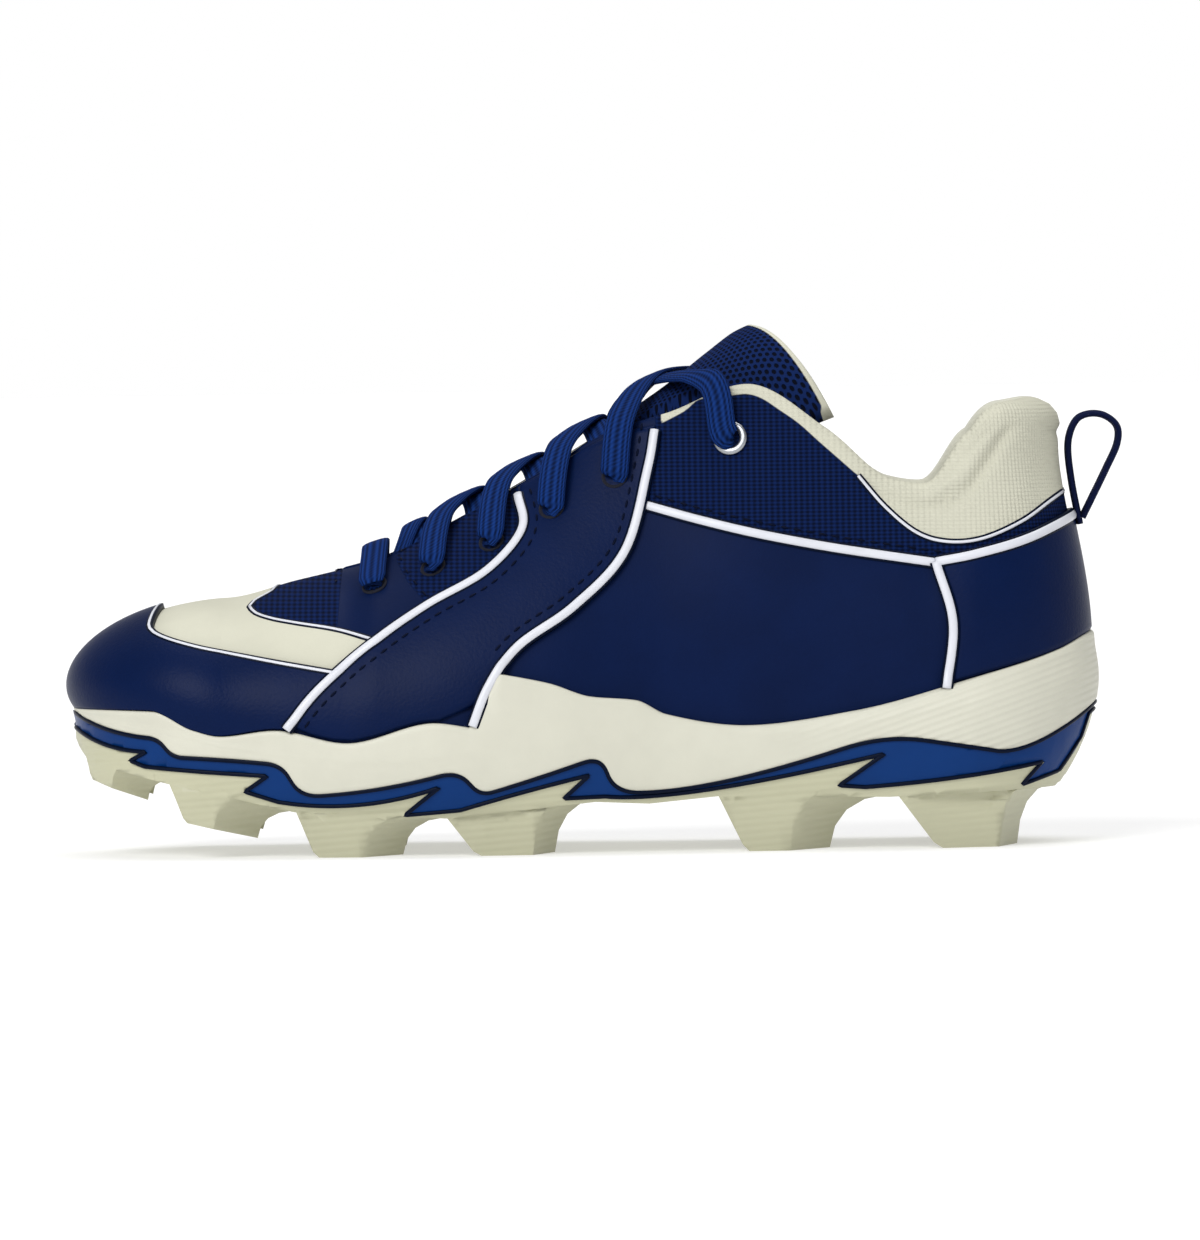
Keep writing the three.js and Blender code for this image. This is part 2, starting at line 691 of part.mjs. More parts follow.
function counterOutline() {
  const edge = counterLine.filter(clearOfSole);
  const far = share(108, length);
  const low = featherPoints(edge[0].x + 0.2, far, aboveSole).reverse();
  return [...edge, new THREE.Vector2(far, edge.at(-1).y + 3), ...low];
}

// Eyelets: a point on the upper's outer face and its outward direction
function eyeletFrame(row, side) {
  const x = share(row.along, length);
  const section = sectionAt(90, x, side);
  const t = outerAt(section, share(row.height, instepHeight));
  const near = [place(section, ...outerPoint(section, t)), place(section, ...outerPoint(section, t, 1))];
  const ahead = sectionAt(90, x + 1, side);
  const along = place(ahead, ...outerPoint(ahead, t)).sub(near[0]);
  const out = near[1].clone().sub(near[0]);
  out.addScaledVector(along, -out.dot(along) / along.lengthSq()).normalize();
  return { point: near[0], out };
}
function turned(geometry, frame, lift) {
  const turn = new THREE.Quaternion().setFromUnitVectors(new THREE.Vector3(0, 1, 0), frame.out);
  geometry.applyQuaternion(turn);
  const at = frame.point.clone().addScaledVector(frame.out, lift);
  return geometry.translate(at.x, at.y, at.z);
}
const eyeletDrill = (frame) =>
  fromGeometry(turned(new THREE.CylinderGeometry(eyeletBore / 2, eyeletBore / 2, 12, 8), frame, 0));
function makeRing(row, side) {
  const base = clearance;
  const profile = [
    [eyeletBore / 2, base],
    [ringOuter / 2, base],
    [ringOuter / 2 - 0.3, base + ringThickness],
    [eyeletBore / 2 + 0.3, base + ringThickness],
    [eyeletBore / 2, base],
  ].map(([r, h]) => new THREE.Vector2(r, h));
  return fromGeometry(turned(new THREE.LatheGeometry(profile, 14), eyeletFrame(row, side), 0));
}

// The tongue, pressed under the eyestays and free above them
function underUpper(x, y) {
  const side = y < 0 ? "lateral" : "medial";
  const section = sectionAt(90, Math.max(x, throatStart + 0.5), side);
  const reach = Math.abs(y);
  if (reach < section.open - section.pad - 2.5) return Infinity;
  let t = 1;
  const inside = (at) => outerPoint(section, at, -wallAt(section, at));
  while (t > 0.3 && inside(t)[0] < reach + 0.6) t -= 0.01;
  return inside(t)[1] - clearance - 0.4;
}
function makeTongue() {
  const rows = 12;
  const half = 5;
  const indexed = tongueRows.map((row, i) => ({ ...row, i }));
  const get = Object.fromEntries(
    Object.keys(tongueRows[0]).map((name) => [name, through(indexed, (r) => r.i, (r) => r[name])]),
  );
  const sheet = (lift) =>
    Array.from({ length: rows + 1 }, (_, k) => {
      const u = (k / rows) * (tongueRows.length - 1);
      const x = share(get.along(u), length);
      const z = share(get.height(u), tongueTop);
      return Array.from({ length: 2 * half + 1 }, (_, m) => {
        const bend = ((m - half) / half) * Math.PI * 0.44;
        const out = Math.sin(bend) / Math.sin(Math.PI * 0.44);
        const back = (1 - Math.cos(bend)) / (1 - Math.cos(Math.PI * 0.44));
        const y = share(get.half(u), ballWidth) * out;
        const px = x + share(get.sweep(u), ballWidth) * back;
        const fall = share(get.drop(u), ballWidth) * back ** (1 + 0.8 * smooth(0.5, 1, k / rows));
        const pz = Math.min(z - fall, underUpper(px, y));
        const shift = new THREE.Vector3(0.35 * smooth(0.5, 1, k / rows), -out * 0.5, -1).normalize();
        return new THREE.Vector3(px, y, pz).addScaledVector(shift, lift);
      });
    });
  const top = sheet(0);
  const bottom = sheet(tongueThickness);
  const surface = new Surface();
  const columns = 2 * half;
  for (let k = 0; k < rows; k++)
    for (let m = 0; m < columns; m++) {
      surface.quad(top[k][m], top[k + 1][m], top[k + 1][m + 1], top[k][m + 1]);
      surface.quad(bottom[k][m], bottom[k][m + 1], bottom[k + 1][m + 1], bottom[k + 1][m]);
    }
  for (let k = 0; k < rows; k++) {
    surface.quad(top[k][0], bottom[k][0], bottom[k + 1][0], top[k + 1][0]);
    surface.quad(top[k][columns], top[k + 1][columns], bottom[k + 1][columns], bottom[k][columns]);
  }
  for (let m = 0; m < columns; m++) {
    surface.quad(top[0][m], top[0][m + 1], bottom[0][m + 1], bottom[0][m]);
    surface.quad(top[rows][m], bottom[rows][m], bottom[rows][m + 1], top[rows][m + 1]);
  }
  return surface.solid();
}

// Pull loop: webbing from the heel, up over and back to its own foot
function makeLoop() {
  const back = (z) => {
    const section = sectionAt(180, heelSpine, "lateral");
    return section.x + outerRadius(section, Math.min(z, section.topZ));
  };
  const foot = share(77.4, instepHeight);
  const off = clearance + overlay + clearance + loopThickness / 2;
  const at = (across, up) => new THREE.Vector2(across, foot + share(up, loopHeight));
  const lie = (up) => at(back(foot + share(up, loopHeight)) + off, up);
  const bulge = (across, up) => at(back(foot) + share(across, loopHeight), up);
  const centre = [
    lie(0),
    lie(40),
    lie(72),
    bulge(6, 92),
    bulge(17, 99),
    bulge(32, 98),
    bulge(44, 88),
    bulge(44, 72),
    bulge(34, 50),
    bulge(20, 22),
  ];
  const curve = new THREE.SplineCurve(centre).getPoints(28);
  const shift = (distance) =>
    curve.map((p, i) => {
      const before = curve[(i + curve.length - 1) % curve.length];
      const after = curve[(i + 1) % curve.length];
      const along = after.clone().sub(before).normalize();
      return new THREE.Vector2(p.x + along.y * distance, p.y - along.x * distance);
    });
  const web = sidePrism(shift(-loopThickness / 2), -loopWidth / 2, loopWidth / 2);
  const hole = shift(loopThickness / 2).slice(3, -3);
  return web.subtract(sidePrism(hole, -loopWidth, loopWidth));
}

// Flat lace along a path; each stop has a point and the direction that its face looks
function makeLace(stops) {
  const curve = new THREE.CatmullRomCurve3(stops.map((s) => s.point), false, "centripetal");
  const count = 6;
  const rings = Array.from({ length: count + 1 }, (_, i) => {
    const u = i / count;
    const point = curve.getPoint(u);
    const along = curve.getTangent(u);
    const k = Math.min(Math.floor(u * (stops.length - 1)), stops.length - 2);
    const face = stops[k].face.clone().lerp(stops[k + 1].face, u * (stops.length - 1) - k);
    const side = new THREE.Vector3().crossVectors(along, face).normalize();
    const up = new THREE.Vector3().crossVectors(side, along).normalize();
    const corner = (s, h) =>
      point.clone().addScaledVector(side, s * laceWidth).addScaledVector(up, h * laceThickness);
    const below = [corner(-0.5, 0), corner(-0.34, -0.5), corner(0.34, -0.5)];
    const above = [corner(0.5, 0), corner(0.34, 0.5), corner(-0.34, 0.5)];
    return [...below, ...above];
  });
  const surface = new Surface();
  for (let i = 0; i < count; i++)
    rings[i].forEach((p, m) => {
      const n = (m + 1) % rings[i].length;
      surface.quad(p, rings[i + 1][m], rings[i + 1][n], rings[i][n]);
    });
  for (const [ring, order] of [[rings[0], [0, 1, 2]], [rings[count], [0, 2, 1]]])
    for (let m = 1; m + 1 < ring.length; m++) {
      const fan = [ring[0], ring[m], ring[m + 1]];
      surface.triangle(...order.map((o) => fan[o]));
    }
  return surface.solid();
}

// Height of the tongue's middle line
const tongueRidge = through(
  tongueRows,
  (row) => share(row.along, length),
  (row) => share(row.height, tongueTop),
);
// Height of a lace's middle above the upper at an eyelet, which lies bare or under the saddle
function laceLift(row) {
  const covered = row.along > saddleFront.at(-1).along && row.along < saddleRear.at(-1).along;
  return clearance + 0.6 * laceThickness + (covered ? clearance + overlay : 0);
}

// A strand from an eyelet on one side over the tongue to the edge at the next eyelet opposite
function strand(k, side, last) {
  const from = eyeletFrame(eyelets[k], side);
  const other = side === "lateral" ? "medial" : "lateral";
  const to = eyeletFrame(eyelets[k + 1], other);
  const up = new THREE.Vector3(-0.45, 0, 1).normalize();
  const edgeAt = (x, which, beyond, rise) => {
    const section = sectionAt(90, x, which);
    return place(section, section.open + beyond, section.topZ + rise);
  };
  const middleX = from.point.x + share(3.8, length);
  const throat = sectionAt(90, middleX, side).topZ;
  const middleZ = Math.max(throat + 4.2, tongueRidge(middleX) + 3.4);
  const middle = new THREE.Vector3(middleX, 0, middleZ);
  const start = [
    { point: from.point.clone().addScaledVector(from.out, laceLift(eyelets[k])), face: from.out },
    { point: edgeAt(from.point.x + 2, side, 1.2, 3.8), face: from.out.clone().lerp(up, 0.5) },
  ];
  const hidden = [{ point: edgeAt(from.point.x + 6, side, -5.4, 2.2), face: up }];
  const stops = [...(k === 0 ? hidden : start), { point: middle, face: up }];
  if (last) {
    stops.push({ point: edgeAt(to.point.x - 5, other, 0.5, 5), face: up });
    const lift = laceLift(eyelets[k + 1]) + ringThickness + clearance;
    stops.push({ point: to.point.clone().addScaledVector(to.out, lift), face: to.out });
  } else {
    stops.push({ point: edgeAt(to.point.x - 3, other, -5.4, 2.2), face: up });
  }
  return makeLace(stops);
}
const crossing = (k, last) => strand(k, "lateral", last).add(strand(k, "medial", last));

function startBar() {
  const ends = ["lateral", "medial"].map((side) => eyeletFrame(eyelets[0], side));
  const x = ends[0].point.x;
  const lift = laceLift(eyelets[0]);
  const shoulder = (side) => {
    const section = sectionAt(90, x, side);
    return place(section, section.open, section.topZ + 3);
  };
  const up = new THREE.Vector3(-0.3, 0, 1).normalize();
  return makeLace([
    { point: ends[0].point.clone().addScaledVector(ends[0].out, lift), face: ends[0].out },
    { point: shoulder("lateral"), face: ends[0].out.clone().lerp(up, 0.6) },
    { point: new THREE.Vector3(x, 0, sectionAt(90, x, "lateral").topZ + 4), face: up },
    { point: shoulder("medial"), face: ends[1].out.clone().lerp(up, 0.6) },
    { point: ends[1].point.clone().addScaledVector(ends[1].out, lift), face: ends[1].out },
  ]);
}

// Colours of the pieces as the shoe is made
const finish = {
  navy: new THREE.MeshStandardMaterial({ color: 0x1b2c5e, roughness: 0.75 }),
  knit: new THREE.MeshStandardMaterial({ color: 0x16244a, roughness: 0.95 }),
  cream: new THREE.MeshStandardMaterial({ color: 0xdcdac8, roughness: 0.6 }),
  stud: new THREE.MeshStandardMaterial({ color: 0xb4b28e, roughness: 0.5 }),
  blue: new THREE.MeshStandardMaterial({ color: 0x1a3a7c, roughness: 0.35 }),
  lace: new THREE.MeshStandardMaterial({ color: 0x1d3262, roughness: 0.9 }),
  metal: new THREE.MeshStandardMaterial({ color: 0xb9bcc2, roughness: 0.3, metalness: 1 }),
};

const shoe = new THREE.Group();
function put(name, solid, material) {
  const { vertProperties, triVerts } = solid.getMesh();
  const geometry = new THREE.BufferGeometry();
  geometry.setAttribute("position", new THREE.BufferAttribute(new Float32Array(vertProperties), 3));
  geometry.setIndex(new THREE.BufferAttribute(new Uint32Array(triVerts), 1));
  geometry.computeVertexNormals();
  const mesh = new THREE.Mesh(geometry, material);
  mesh.name = name;
  shoe.add(mesh);
}

const drills = Object.keys(SIDES).flatMap((side) =>
  eyelets.map((row) => eyeletDrill(eyeletFrame(row, side))),
);
const drilled = (solid) => drills.reduce((left, drill) => left.subtract(drill), solid);
const cup = filledUpper(clearance, clearance, 9);

put("outsole", makeOutsole(cup), finish.stud);
put("plate", makePlate(cup), finish.blue);
put("midsole", makeMidsole(cup), finish.cream);
put("insole", makeInsole(), finish.knit);
put("upper", drilled(makeUpper()), finish.knit);
put("tongue", makeTongue(), finish.knit);
put("toe_cap", makeOverlay(toeCapOutline(), "both"), finish.navy);
put("heel_counter", makeOverlay(counterOutline(), "both"), finish.navy);
for (const side of Object.keys(SIDES)) {
  put("saddle_" + side, drilled(makeOverlay(saddleOutline(), side)), finish.navy);
  put("eyelet_ring_" + side, makeRing(eyelets.at(-1), side), finish.metal);
}
put("lace_bar", startBar(), finish.lace);
for (let k = 0; k + 1 < eyelets.length; k++)
  put("lace_crossing_" + (k + 1), crossing(k, k + 2 === eyelets.length), finish.lace);
put("pull_loop", makeLoop(), finish.navy);

// The whole shoe stands on the floor with the middle of its box at the origin
const box = new THREE.Box3().setFromObject(shoe);
shoe.position.set(-(box.min.x + box.max.x) / 2, -(box.min.y + box.max.y) / 2, -box.min.z);

export default shoe;
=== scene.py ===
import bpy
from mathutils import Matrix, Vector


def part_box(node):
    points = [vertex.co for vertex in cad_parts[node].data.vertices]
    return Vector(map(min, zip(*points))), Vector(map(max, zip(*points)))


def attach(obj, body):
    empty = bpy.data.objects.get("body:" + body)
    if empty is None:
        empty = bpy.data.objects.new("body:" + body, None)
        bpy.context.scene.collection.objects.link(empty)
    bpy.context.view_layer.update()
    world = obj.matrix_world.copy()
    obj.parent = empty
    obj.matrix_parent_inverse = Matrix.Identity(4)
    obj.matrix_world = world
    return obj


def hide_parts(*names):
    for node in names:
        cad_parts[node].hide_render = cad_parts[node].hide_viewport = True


bl_info = {
    "name": "Moulded Baseball Cleat",
    "version": (1, 0, 0),
    "blender": (4, 5, 0),
    "location": "3D View > Sidebar > Cleat",
    "description": "Builds a low-cut baseball cleat for the left foot on its CAD frame",
    "category": "Object",
}

import math
from functools import partial
from types import SimpleNamespace

import bmesh
import bpy
import numpy as np
from bpy.props import FloatProperty, FloatVectorProperty, PointerProperty
from bpy.types import Operator, Panel, PropertyGroup
from mathutils import Euler, Vector

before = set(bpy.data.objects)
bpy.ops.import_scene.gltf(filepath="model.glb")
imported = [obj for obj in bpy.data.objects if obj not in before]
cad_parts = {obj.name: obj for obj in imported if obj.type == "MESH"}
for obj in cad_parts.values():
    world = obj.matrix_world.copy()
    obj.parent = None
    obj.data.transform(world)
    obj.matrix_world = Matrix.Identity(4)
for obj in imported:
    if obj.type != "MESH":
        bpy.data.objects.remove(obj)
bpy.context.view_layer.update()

# Sizes of the shoe in millimetres, x from the toe tip, z from the floor, the outer side at -y
LENGTH = 250.0
BALL_WIDTH = 90.0
HEEL_STACK = 50.0
INSTEP_HEIGHT = 100.0
WALL = 2.2
COLLAR_PAD = 9.0
CLEARANCE = 0.3
OVERLAY = 1.1
CUP_RIM = 1.8
PLATE_INSET = 0.4
TONGUE_THICKNESS = 3.6
TONGUE_TOP = 127.5
LACE_WIDTH = 7.0
LACE_THICKNESS = 1.6
EYELET_BORE = 4.6
RING_OUTER = 8.4
LOOP_WIDTH = 11.0
LOOP_THICKNESS = 1.7
LOOP_HEIGHT = 27.0
OUTER, INNER = -1, 1


def table(heading, lines):
    """Named columns from a heading and lines of numbers."""
    rows = np.array([[float(cell) for cell in line.split()] for line in lines.strip().splitlines()])
    return {name: rows[:, i] for i, name in enumerate(heading.split())}


# Half sections of the shoe from the toe to the heel, in percent of the sizes that they follow
SECTIONS = table(
    "turn along lat med tuck foot open top lean rise crown shoulder pad belly over under",
    """
    0    14.8  41.1 41.1 3.7  70   0    62.2  31   27   95.5  10       0   70    0.3  1.6
    45   14.8  40.7 44.7 3.6  64.6 0    62.2  27   30   92    6        0   62    0.6  2.2
    90   14.8  42.6 46.7 3.4  54   0    62.2  20   33   80    3        0   52    1.2  3.0
    90   22    46.3 49.2 3.3  48   0    66.3  14   36   74    3        0   46    1.4  3.3
    90   26.6  48.4 50.2 3.3  45.6 0    68.9  11   38   70    4        0   44    1.4  3.3
    90   30    49.6 50.4 3.3  45   11.1 71    10   40   62    9        0   44    1.4  3.3
    90   38    50.8 48.6 3.3  49   13.3 80.5  8    42   50    14       0   48    1.4  3.3
    90   46    49.2 44.4 3.3  54   15.6 91.6  6.5  42   42    19       0   54    1.4  3.3
    90   54    45.6 40   3.3  56.4 17.8 102.2 5    40   36    24       0   54    1.4  3.3
    90   58    44   38.9 3.3  57   20   104.2 5    39   34    26       35  50    1.4  3.3
    90   66    42.2 38.3 3.3  55.6 25.6 110.6 5    38   30    28       45  52    1.4  3.3
    90   74    41.3 38.8 3.6  58.6 28.9 98.6  6    38   34    28       60  56    1.6  3.4
    90   80    41.1 39.3 4    63.6 30   86.4  8    40   45    28       75  64    1.9  3.6
    90   83.2  41   39.7 4.2  66   29.8 85    9    40   36    28       82  67    2.1  4.0
    90   87.6  40.6 40   4.4  69   28.7 97    10   40   18    25       90  70    2.4  5.0
    112  87.6  39.2 39   4.4  71   27.8 103.2 12   40   0     24       97  74    2.8  7.0
    135  87.6  37.6 37.6 4.4  72.6 26.7 103.4 15   39   -42   23       100 78    3.0  9.5
    180  87.6  34.4 34.4 4.4  74   25   101.8 18.5 38   -67   23       100 82    3.2  12.8
    """,
)
# The midsole's top line, with its two sharp corners at the arch
FEATHER = table(
    "along height corner",
    """
    -4    72.6  0
    8     71.6  0
    12    62.6  0
    14.8  59.4  0
    20    62    0
    27    55.6  0
    35.4  64.8  0
    38.8  62.6  1
    41.7  88.2  1
    46.6  83    0
    50.5  76.4  0
    54.9  74.2  0
    57.8  67.2  0
    65.6  61.2  0
    75.9  67.4  0
    87.6  82.6  0
    96.4  95.6  0
    98.8  101.4 0
    105   112   0
    """,
)
# The plate's flames: upper edge low, rise, crest; lower edge root, belly, tip, barb
FLAMES = table(
    "lowX lowZ riseX riseZ crestX crestZ rootX rootZ bellyX bellyZ tipX tipZ barbX barbZ",
    """
    -1.6 76   2.8   63.8  8.6    58.4   -0.8  66    3      55.6   7.4  52   5.8   47.6
    10   49.4 14.8  48    20.6   45.4   7.2   44.8  12.6   42.4   19.2 40   17    32.4
    22.4 29.8 30    33.2  37.6   41.6   20.2  27.2  28     25.4   35.8 33.6 32.4  20
    39.8 29.4 45    37    51.4   47.4   37.8  22.2  44     30.8   50.3 38.4 47.8  27.2
    52.7 30.2 63.2  34    78.8   55.8   51.8  27.8  62     30.4   78.8 46.4 74.4  31.2
    88.8 47.8 94    51.2  101.5  75     77    30.2  86     34.4   94.2 40.6 92.2  29.8
    """,
)
UNDERSIDE = table(
    "along height",
    """
    -2    58
    0.6   56
    1.6   47
    9.4   36.6
    21.8  22.2
    36.6  18.4
    50.8  25.4
    56    24
    62.6  27
    79.2  25.4
    95.4  28.2
    97.4  38.6
    99.1  55
    101   64
    """,
)
TONGUE = table(
    "along height half sweep drop",
    """
    26    50.8  16   0    7
    31    55.7  19   0    9
    38    63    21   0    11
    46    71.7  22   1    13
    54    82.7  22   4    16
    58.4  88.6  20.5 9    18
    62.2  94.4  19   16   22
    65    98.4  17.5 20   24
    66.8  100   16   21   24
    """,
)
# Eyelets from toe to ankle, in percent of the length and of the instep's height
EYELETS = table(
    "along height",
    """
    29.7  65.3
    35.4  69.6
    41.1  75.6
    47.1  82.7
    53.2  90.3
    64.4  99.7
    """,
)

# Side-view lines on the upper, in millimetres
SADDLE_FRONT = [
    (52.5, 30.4), (60.5, 39.9), (73.75, 50.9), (87.25, 59.8), (101.75, 67.9), (110.5, 77.7), (109.75, 86),
]
SADDLE_REAR = [
    (97.25, 30.5), (101.75, 40.8), (109, 50.2), (122.5, 59.5), (135, 72.5), (141, 92), (143, 101.6),
]
TOE_CAP = [(24, 63), (20.25, 57.2), (21, 53.6), (31, 50.3), (46.5, 47.3), (65.5, 44)]
COUNTER = [(211.75, 37), (214, 54.3), (210.25, 69)]
COUNTER_TOP = [(210.25, 69), (220, 70.9), (232.5, 74.6), (247.5, 81.5)]
COLLAR_SEAM = [(139.7, 83.9), (153.1, 80.1), (167.7, 76.5), (184.8, 73.1), (201.9, 70.3), (210.25, 69)]
WINDOW_LOW = [(43.7, 60.4), (45.2, 58.9), (49.3, 57.6), (55.4, 56.5), (65.2, 54.9), (75, 52.2)]
WINDOW_TOP = [(43.7, 60.4), (44.7, 61.6), (46.9, 62.8), (49, 63.9), (50.3, 65.4), (51, 70)]
TOE_CAP_CREST = 21.8
WINDOW_CREST = 50.2
STAY_FRONT = [(66.4, 72), (66, 66), (65.2, 54.4)]
STAY_REAR = [(80, 78), (79.6, 71), (82.5, 66), (87.6, 60)]
HEEL_PANEL = [
    (191.7, 90.3), (198.2, 82.6), (205.6, 76.4), (212.9, 74.1), (221.4, 74.7), (231.2, 78.7), (239.7, 84.2),
    (250, 90),
]
BINDING = [
    (144.3, 103.5), (150.1, 106.5), (153.6, 109.2), (160.4, 110), (165.3, 110.4), (168.9, 109.2),
    (172.6, 106.7), (177.5, 103.2), (182.4, 98.7), (187.3, 94.3), (191.7, 90.3),
]
ROLL_SEAM = [
    (190, 92), (193.9, 89.2), (197, 87.5), (202.1, 85.2), (207.3, 83.7), (212.4, 84.2), (217.6, 86.1),
    (221.7, 91.2), (225.2, 96.3), (227.8, 100.4), (231.4, 103.9), (236, 104.4), (242.2, 100.2),
]


def through(x, y):
    """Curve through the points with no overshoot."""
    x, y = np.asarray(x, float), np.asarray(y, float)
    step = np.diff(x)
    slope = np.diff(y) / step
    before = 2 * step[1:] + step[:-1]
    after = step[1:] + 2 * step[:-1]
    same = slope[:-1] * slope[1:] > 0
    first, second = np.where(same, slope[:-1], 1), np.where(same, slope[1:], 1)
    inner = np.where(same, (before + after) / (before / first + after / second), 0)
    tangent = np.concatenate([slope[:1], inner, slope[-1:]])

    def curve(at):
        i = np.clip(np.searchsorted(x, at) - 1, 0, len(x) - 2)
        t = np.clip((at - x[i]) / step[i], 0, 1)
        start = (1 + 2 * t) * (1 - t) ** 2 * y[i] + t * (1 - t) ** 2 * step[i] * tangent[i]
        end = t * t * (3 - 2 * t) * y[i + 1] + t * t * (t - 1) * step[i] * tangent[i + 1]
        return start + end

    return curve


def smooth(low, high, at):
    """Soft step from 0 at low to 1 at high."""
    t = np.clip((np.asarray(at, float) - low) / (high - low), 0, 1)
    return t * t * (3 - 2 * t)


TOE_SPINE = SECTIONS["along"][0] / 100 * LENGTH
HEEL_SPINE = SECTIONS["along"][-1] / 100 * LENGTH


def stations():
    """Where each row of the table stands round the shoe, from 0 at the toe to 3 at the heel."""
    turn, x = SECTIONS["turn"], SECTIONS["along"] / 100 * LENGTH
    body = 1 + (x - TOE_SPINE) / (HEEL_SPINE - TOE_SPINE)
    return np.where(x <= TOE_SPINE + 1e-9, turn / 90, np.where(x >= HEEL_SPINE - 1e-9, 2 + (turn - 90) / 90, body))


COLUMN = {name: through(stations(), values) for name, values in SECTIONS.items() if name not in ("turn", "along")}


def section(around):
    """Half sections at places round the shoe: 0 to 3 toe to heel outside, 3 to 6 back inside."""
    around = np.mod(np.asarray(around, float), 6)
    outside = around <= 3
    s = np.where(outside, around, 6 - around)
    part = {name: COLUMN[name](s) / 100 for name in COLUMN}
    turn = np.radians(90 * np.clip(s, 0, 1) + 90 * np.clip(s - 2, 0, 1))
    edge = np.where(outside, part["lat"], part["med"]) * BALL_WIDTH
    foot = edge - part["tuck"] * BALL_WIDTH
    foot_z, top_z = part["foot"] * HEEL_STACK, part["top"] * INSTEP_HEIGHT
    half = part["open"] * BALL_WIDTH
    rise = top_z - foot_z
    return SimpleNamespace(
        x=TOE_SPINE + np.clip(s - 1, 0, 1) * (HEEL_SPINE - TOE_SPINE),
        out_x=-np.cos(turn),
        out_y=np.where(outside, -1.0, 1.0) * np.sin(turn),
        edge=edge,
        foot=foot,
        foot_z=foot_z,
        half=half,
        top_z=top_z,
        pad=WALL + part["pad"] * (COLLAR_PAD - WALL),
        r=(foot, foot * (1 + part["lean"]), half + part["crown"] * (foot - half), half),
        z=(foot_z, foot_z + part["rise"] * rise, top_z - part["shoulder"] * rise, top_z),
        belly=part["belly"] * HEEL_STACK,
        over=part["over"] * BALL_WIDTH,
        under=part["under"] * BALL_WIDTH,
        closed=half < 1e-6,
    )


def curve_at(s, t, lift=0.0):
    """Radius and height on the sections' outer curve, t from its foot to its top."""
    a = 1 - t
    weights = (a**3, 3 * a * a * t, 3 * a * t * t, t**3)
    slopes = (-3 * a * a, 3 * a * a - 6 * a * t, 6 * a * t - 3 * t * t, 3 * t * t)
    run_r = sum(w * h for w, h in zip(slopes, s.r))
    run_z = sum(w * h for w, h in zip(slopes, s.z))
    size = np.hypot(run_r, run_z)
    radius = sum(w * h for w, h in zip(weights, s.r)) + lift * run_z / size
    return radius, sum(w * h for w, h in zip(weights, s.z)) - lift * run_r / size


def place(s, radius, z):
    """Points of the sections, in shoe millimetres."""
    return np.stack(np.broadcast_arrays(s.x + s.out_x * radius, s.out_y * radius, z), -1)


def height_at(s, z):
    """Where the outer curve reaches a height."""
    low, high = np.zeros(np.shape(s.x)), np.ones(np.shape(s.x))
    for _ in range(26):
        middle = (low + high) / 2
        below = curve_at(s, middle)[1] < z
        low, high = np.where(below, middle, low), np.where(below, high, middle)
    return (low + high) / 2


def upper_point(around, t, lift=0.0):
    """Points on the upper's outer face."""
    s = section(around)
    radius, z = curve_at(s, np.asarray(t, float), lift)
    return place(s, np.maximum(radius, 0), z)


def unit(v):
    return v / np.maximum(np.linalg.norm(v, axis=-1, keepdims=True), 1e-12)


def upper_frame(around, t, lift=0.0):
    """Points on the upper and the directions straight out of it."""
    around, t = np.broadcast_arrays(np.asarray(around, float), np.asarray(t, float))
    ahead = upper_point(around + 2e-3, t) - upper_point(around - 2e-3, t)
    up = upper_point(around, np.minimum(t + 2e-3, 1)) - upper_point(around, np.maximum(t - 2e-3, 0))
    out = unit(np.cross(ahead, up))
    return upper_point(around, t) + out * np.asarray(lift)[..., None], out


def locate(line, side):
    """Places round and up the upper of side-view points."""
    x, z = np.asarray(line, float).T
    low, high = np.zeros(len(x)), np.full(len(x), 3.0)
    for _ in range(26):
        s = (low + high) / 2
        half_section = section(s if side == OUTER else 6 - s)
        t = height_at(half_section, z)
        behind = half_section.x + half_section.out_x * curve_at(half_section, t)[0] < x
        low, high = np.where(behind, s, low), np.where(behind, high, s)
    return (s if side == OUTER else 6 - s), t


def curve_through(points, spacing=1.0):
    """Smooth line through points, nearly evenly spaced."""
    p = np.asarray(points, float)
    p = np.vstack([2 * p[0] - p[1], p, 2 * p[-1] - p[-2]])
    pieces = []
    for i in range(1, len(p) - 2):
        count = max(int(np.linalg.norm(p[i + 1] - p[i]) / spacing), 1)
        t = np.linspace(0, 1, count, endpoint=False)[:, None]
        linear_part = 2 * p[i] + (p[i + 1] - p[i - 1]) * t
        square = (2 * p[i - 1] - 5 * p[i] + 4 * p[i + 1] - p[i + 2]) * t * t
        cube = (3 * p[i] - p[i - 1] - 3 * p[i + 1] + p[i + 2]) * t**3
        pieces.append((linear_part + square + cube) / 2)
    return np.vstack([*pieces, p[-2:-1]])


def even(line, spacing):
    """The same line with evenly spaced points."""
    line = np.asarray(line, float)
    run = np.concatenate([[0], np.cumsum(np.linalg.norm(np.diff(line, axis=0), axis=1))])
    at = np.linspace(0, run[-1], max(int(run[-1] / spacing), 2) + 1)
    return np.stack([np.interp(at, run, line[:, k]) for k in range(line.shape[1])], -1)


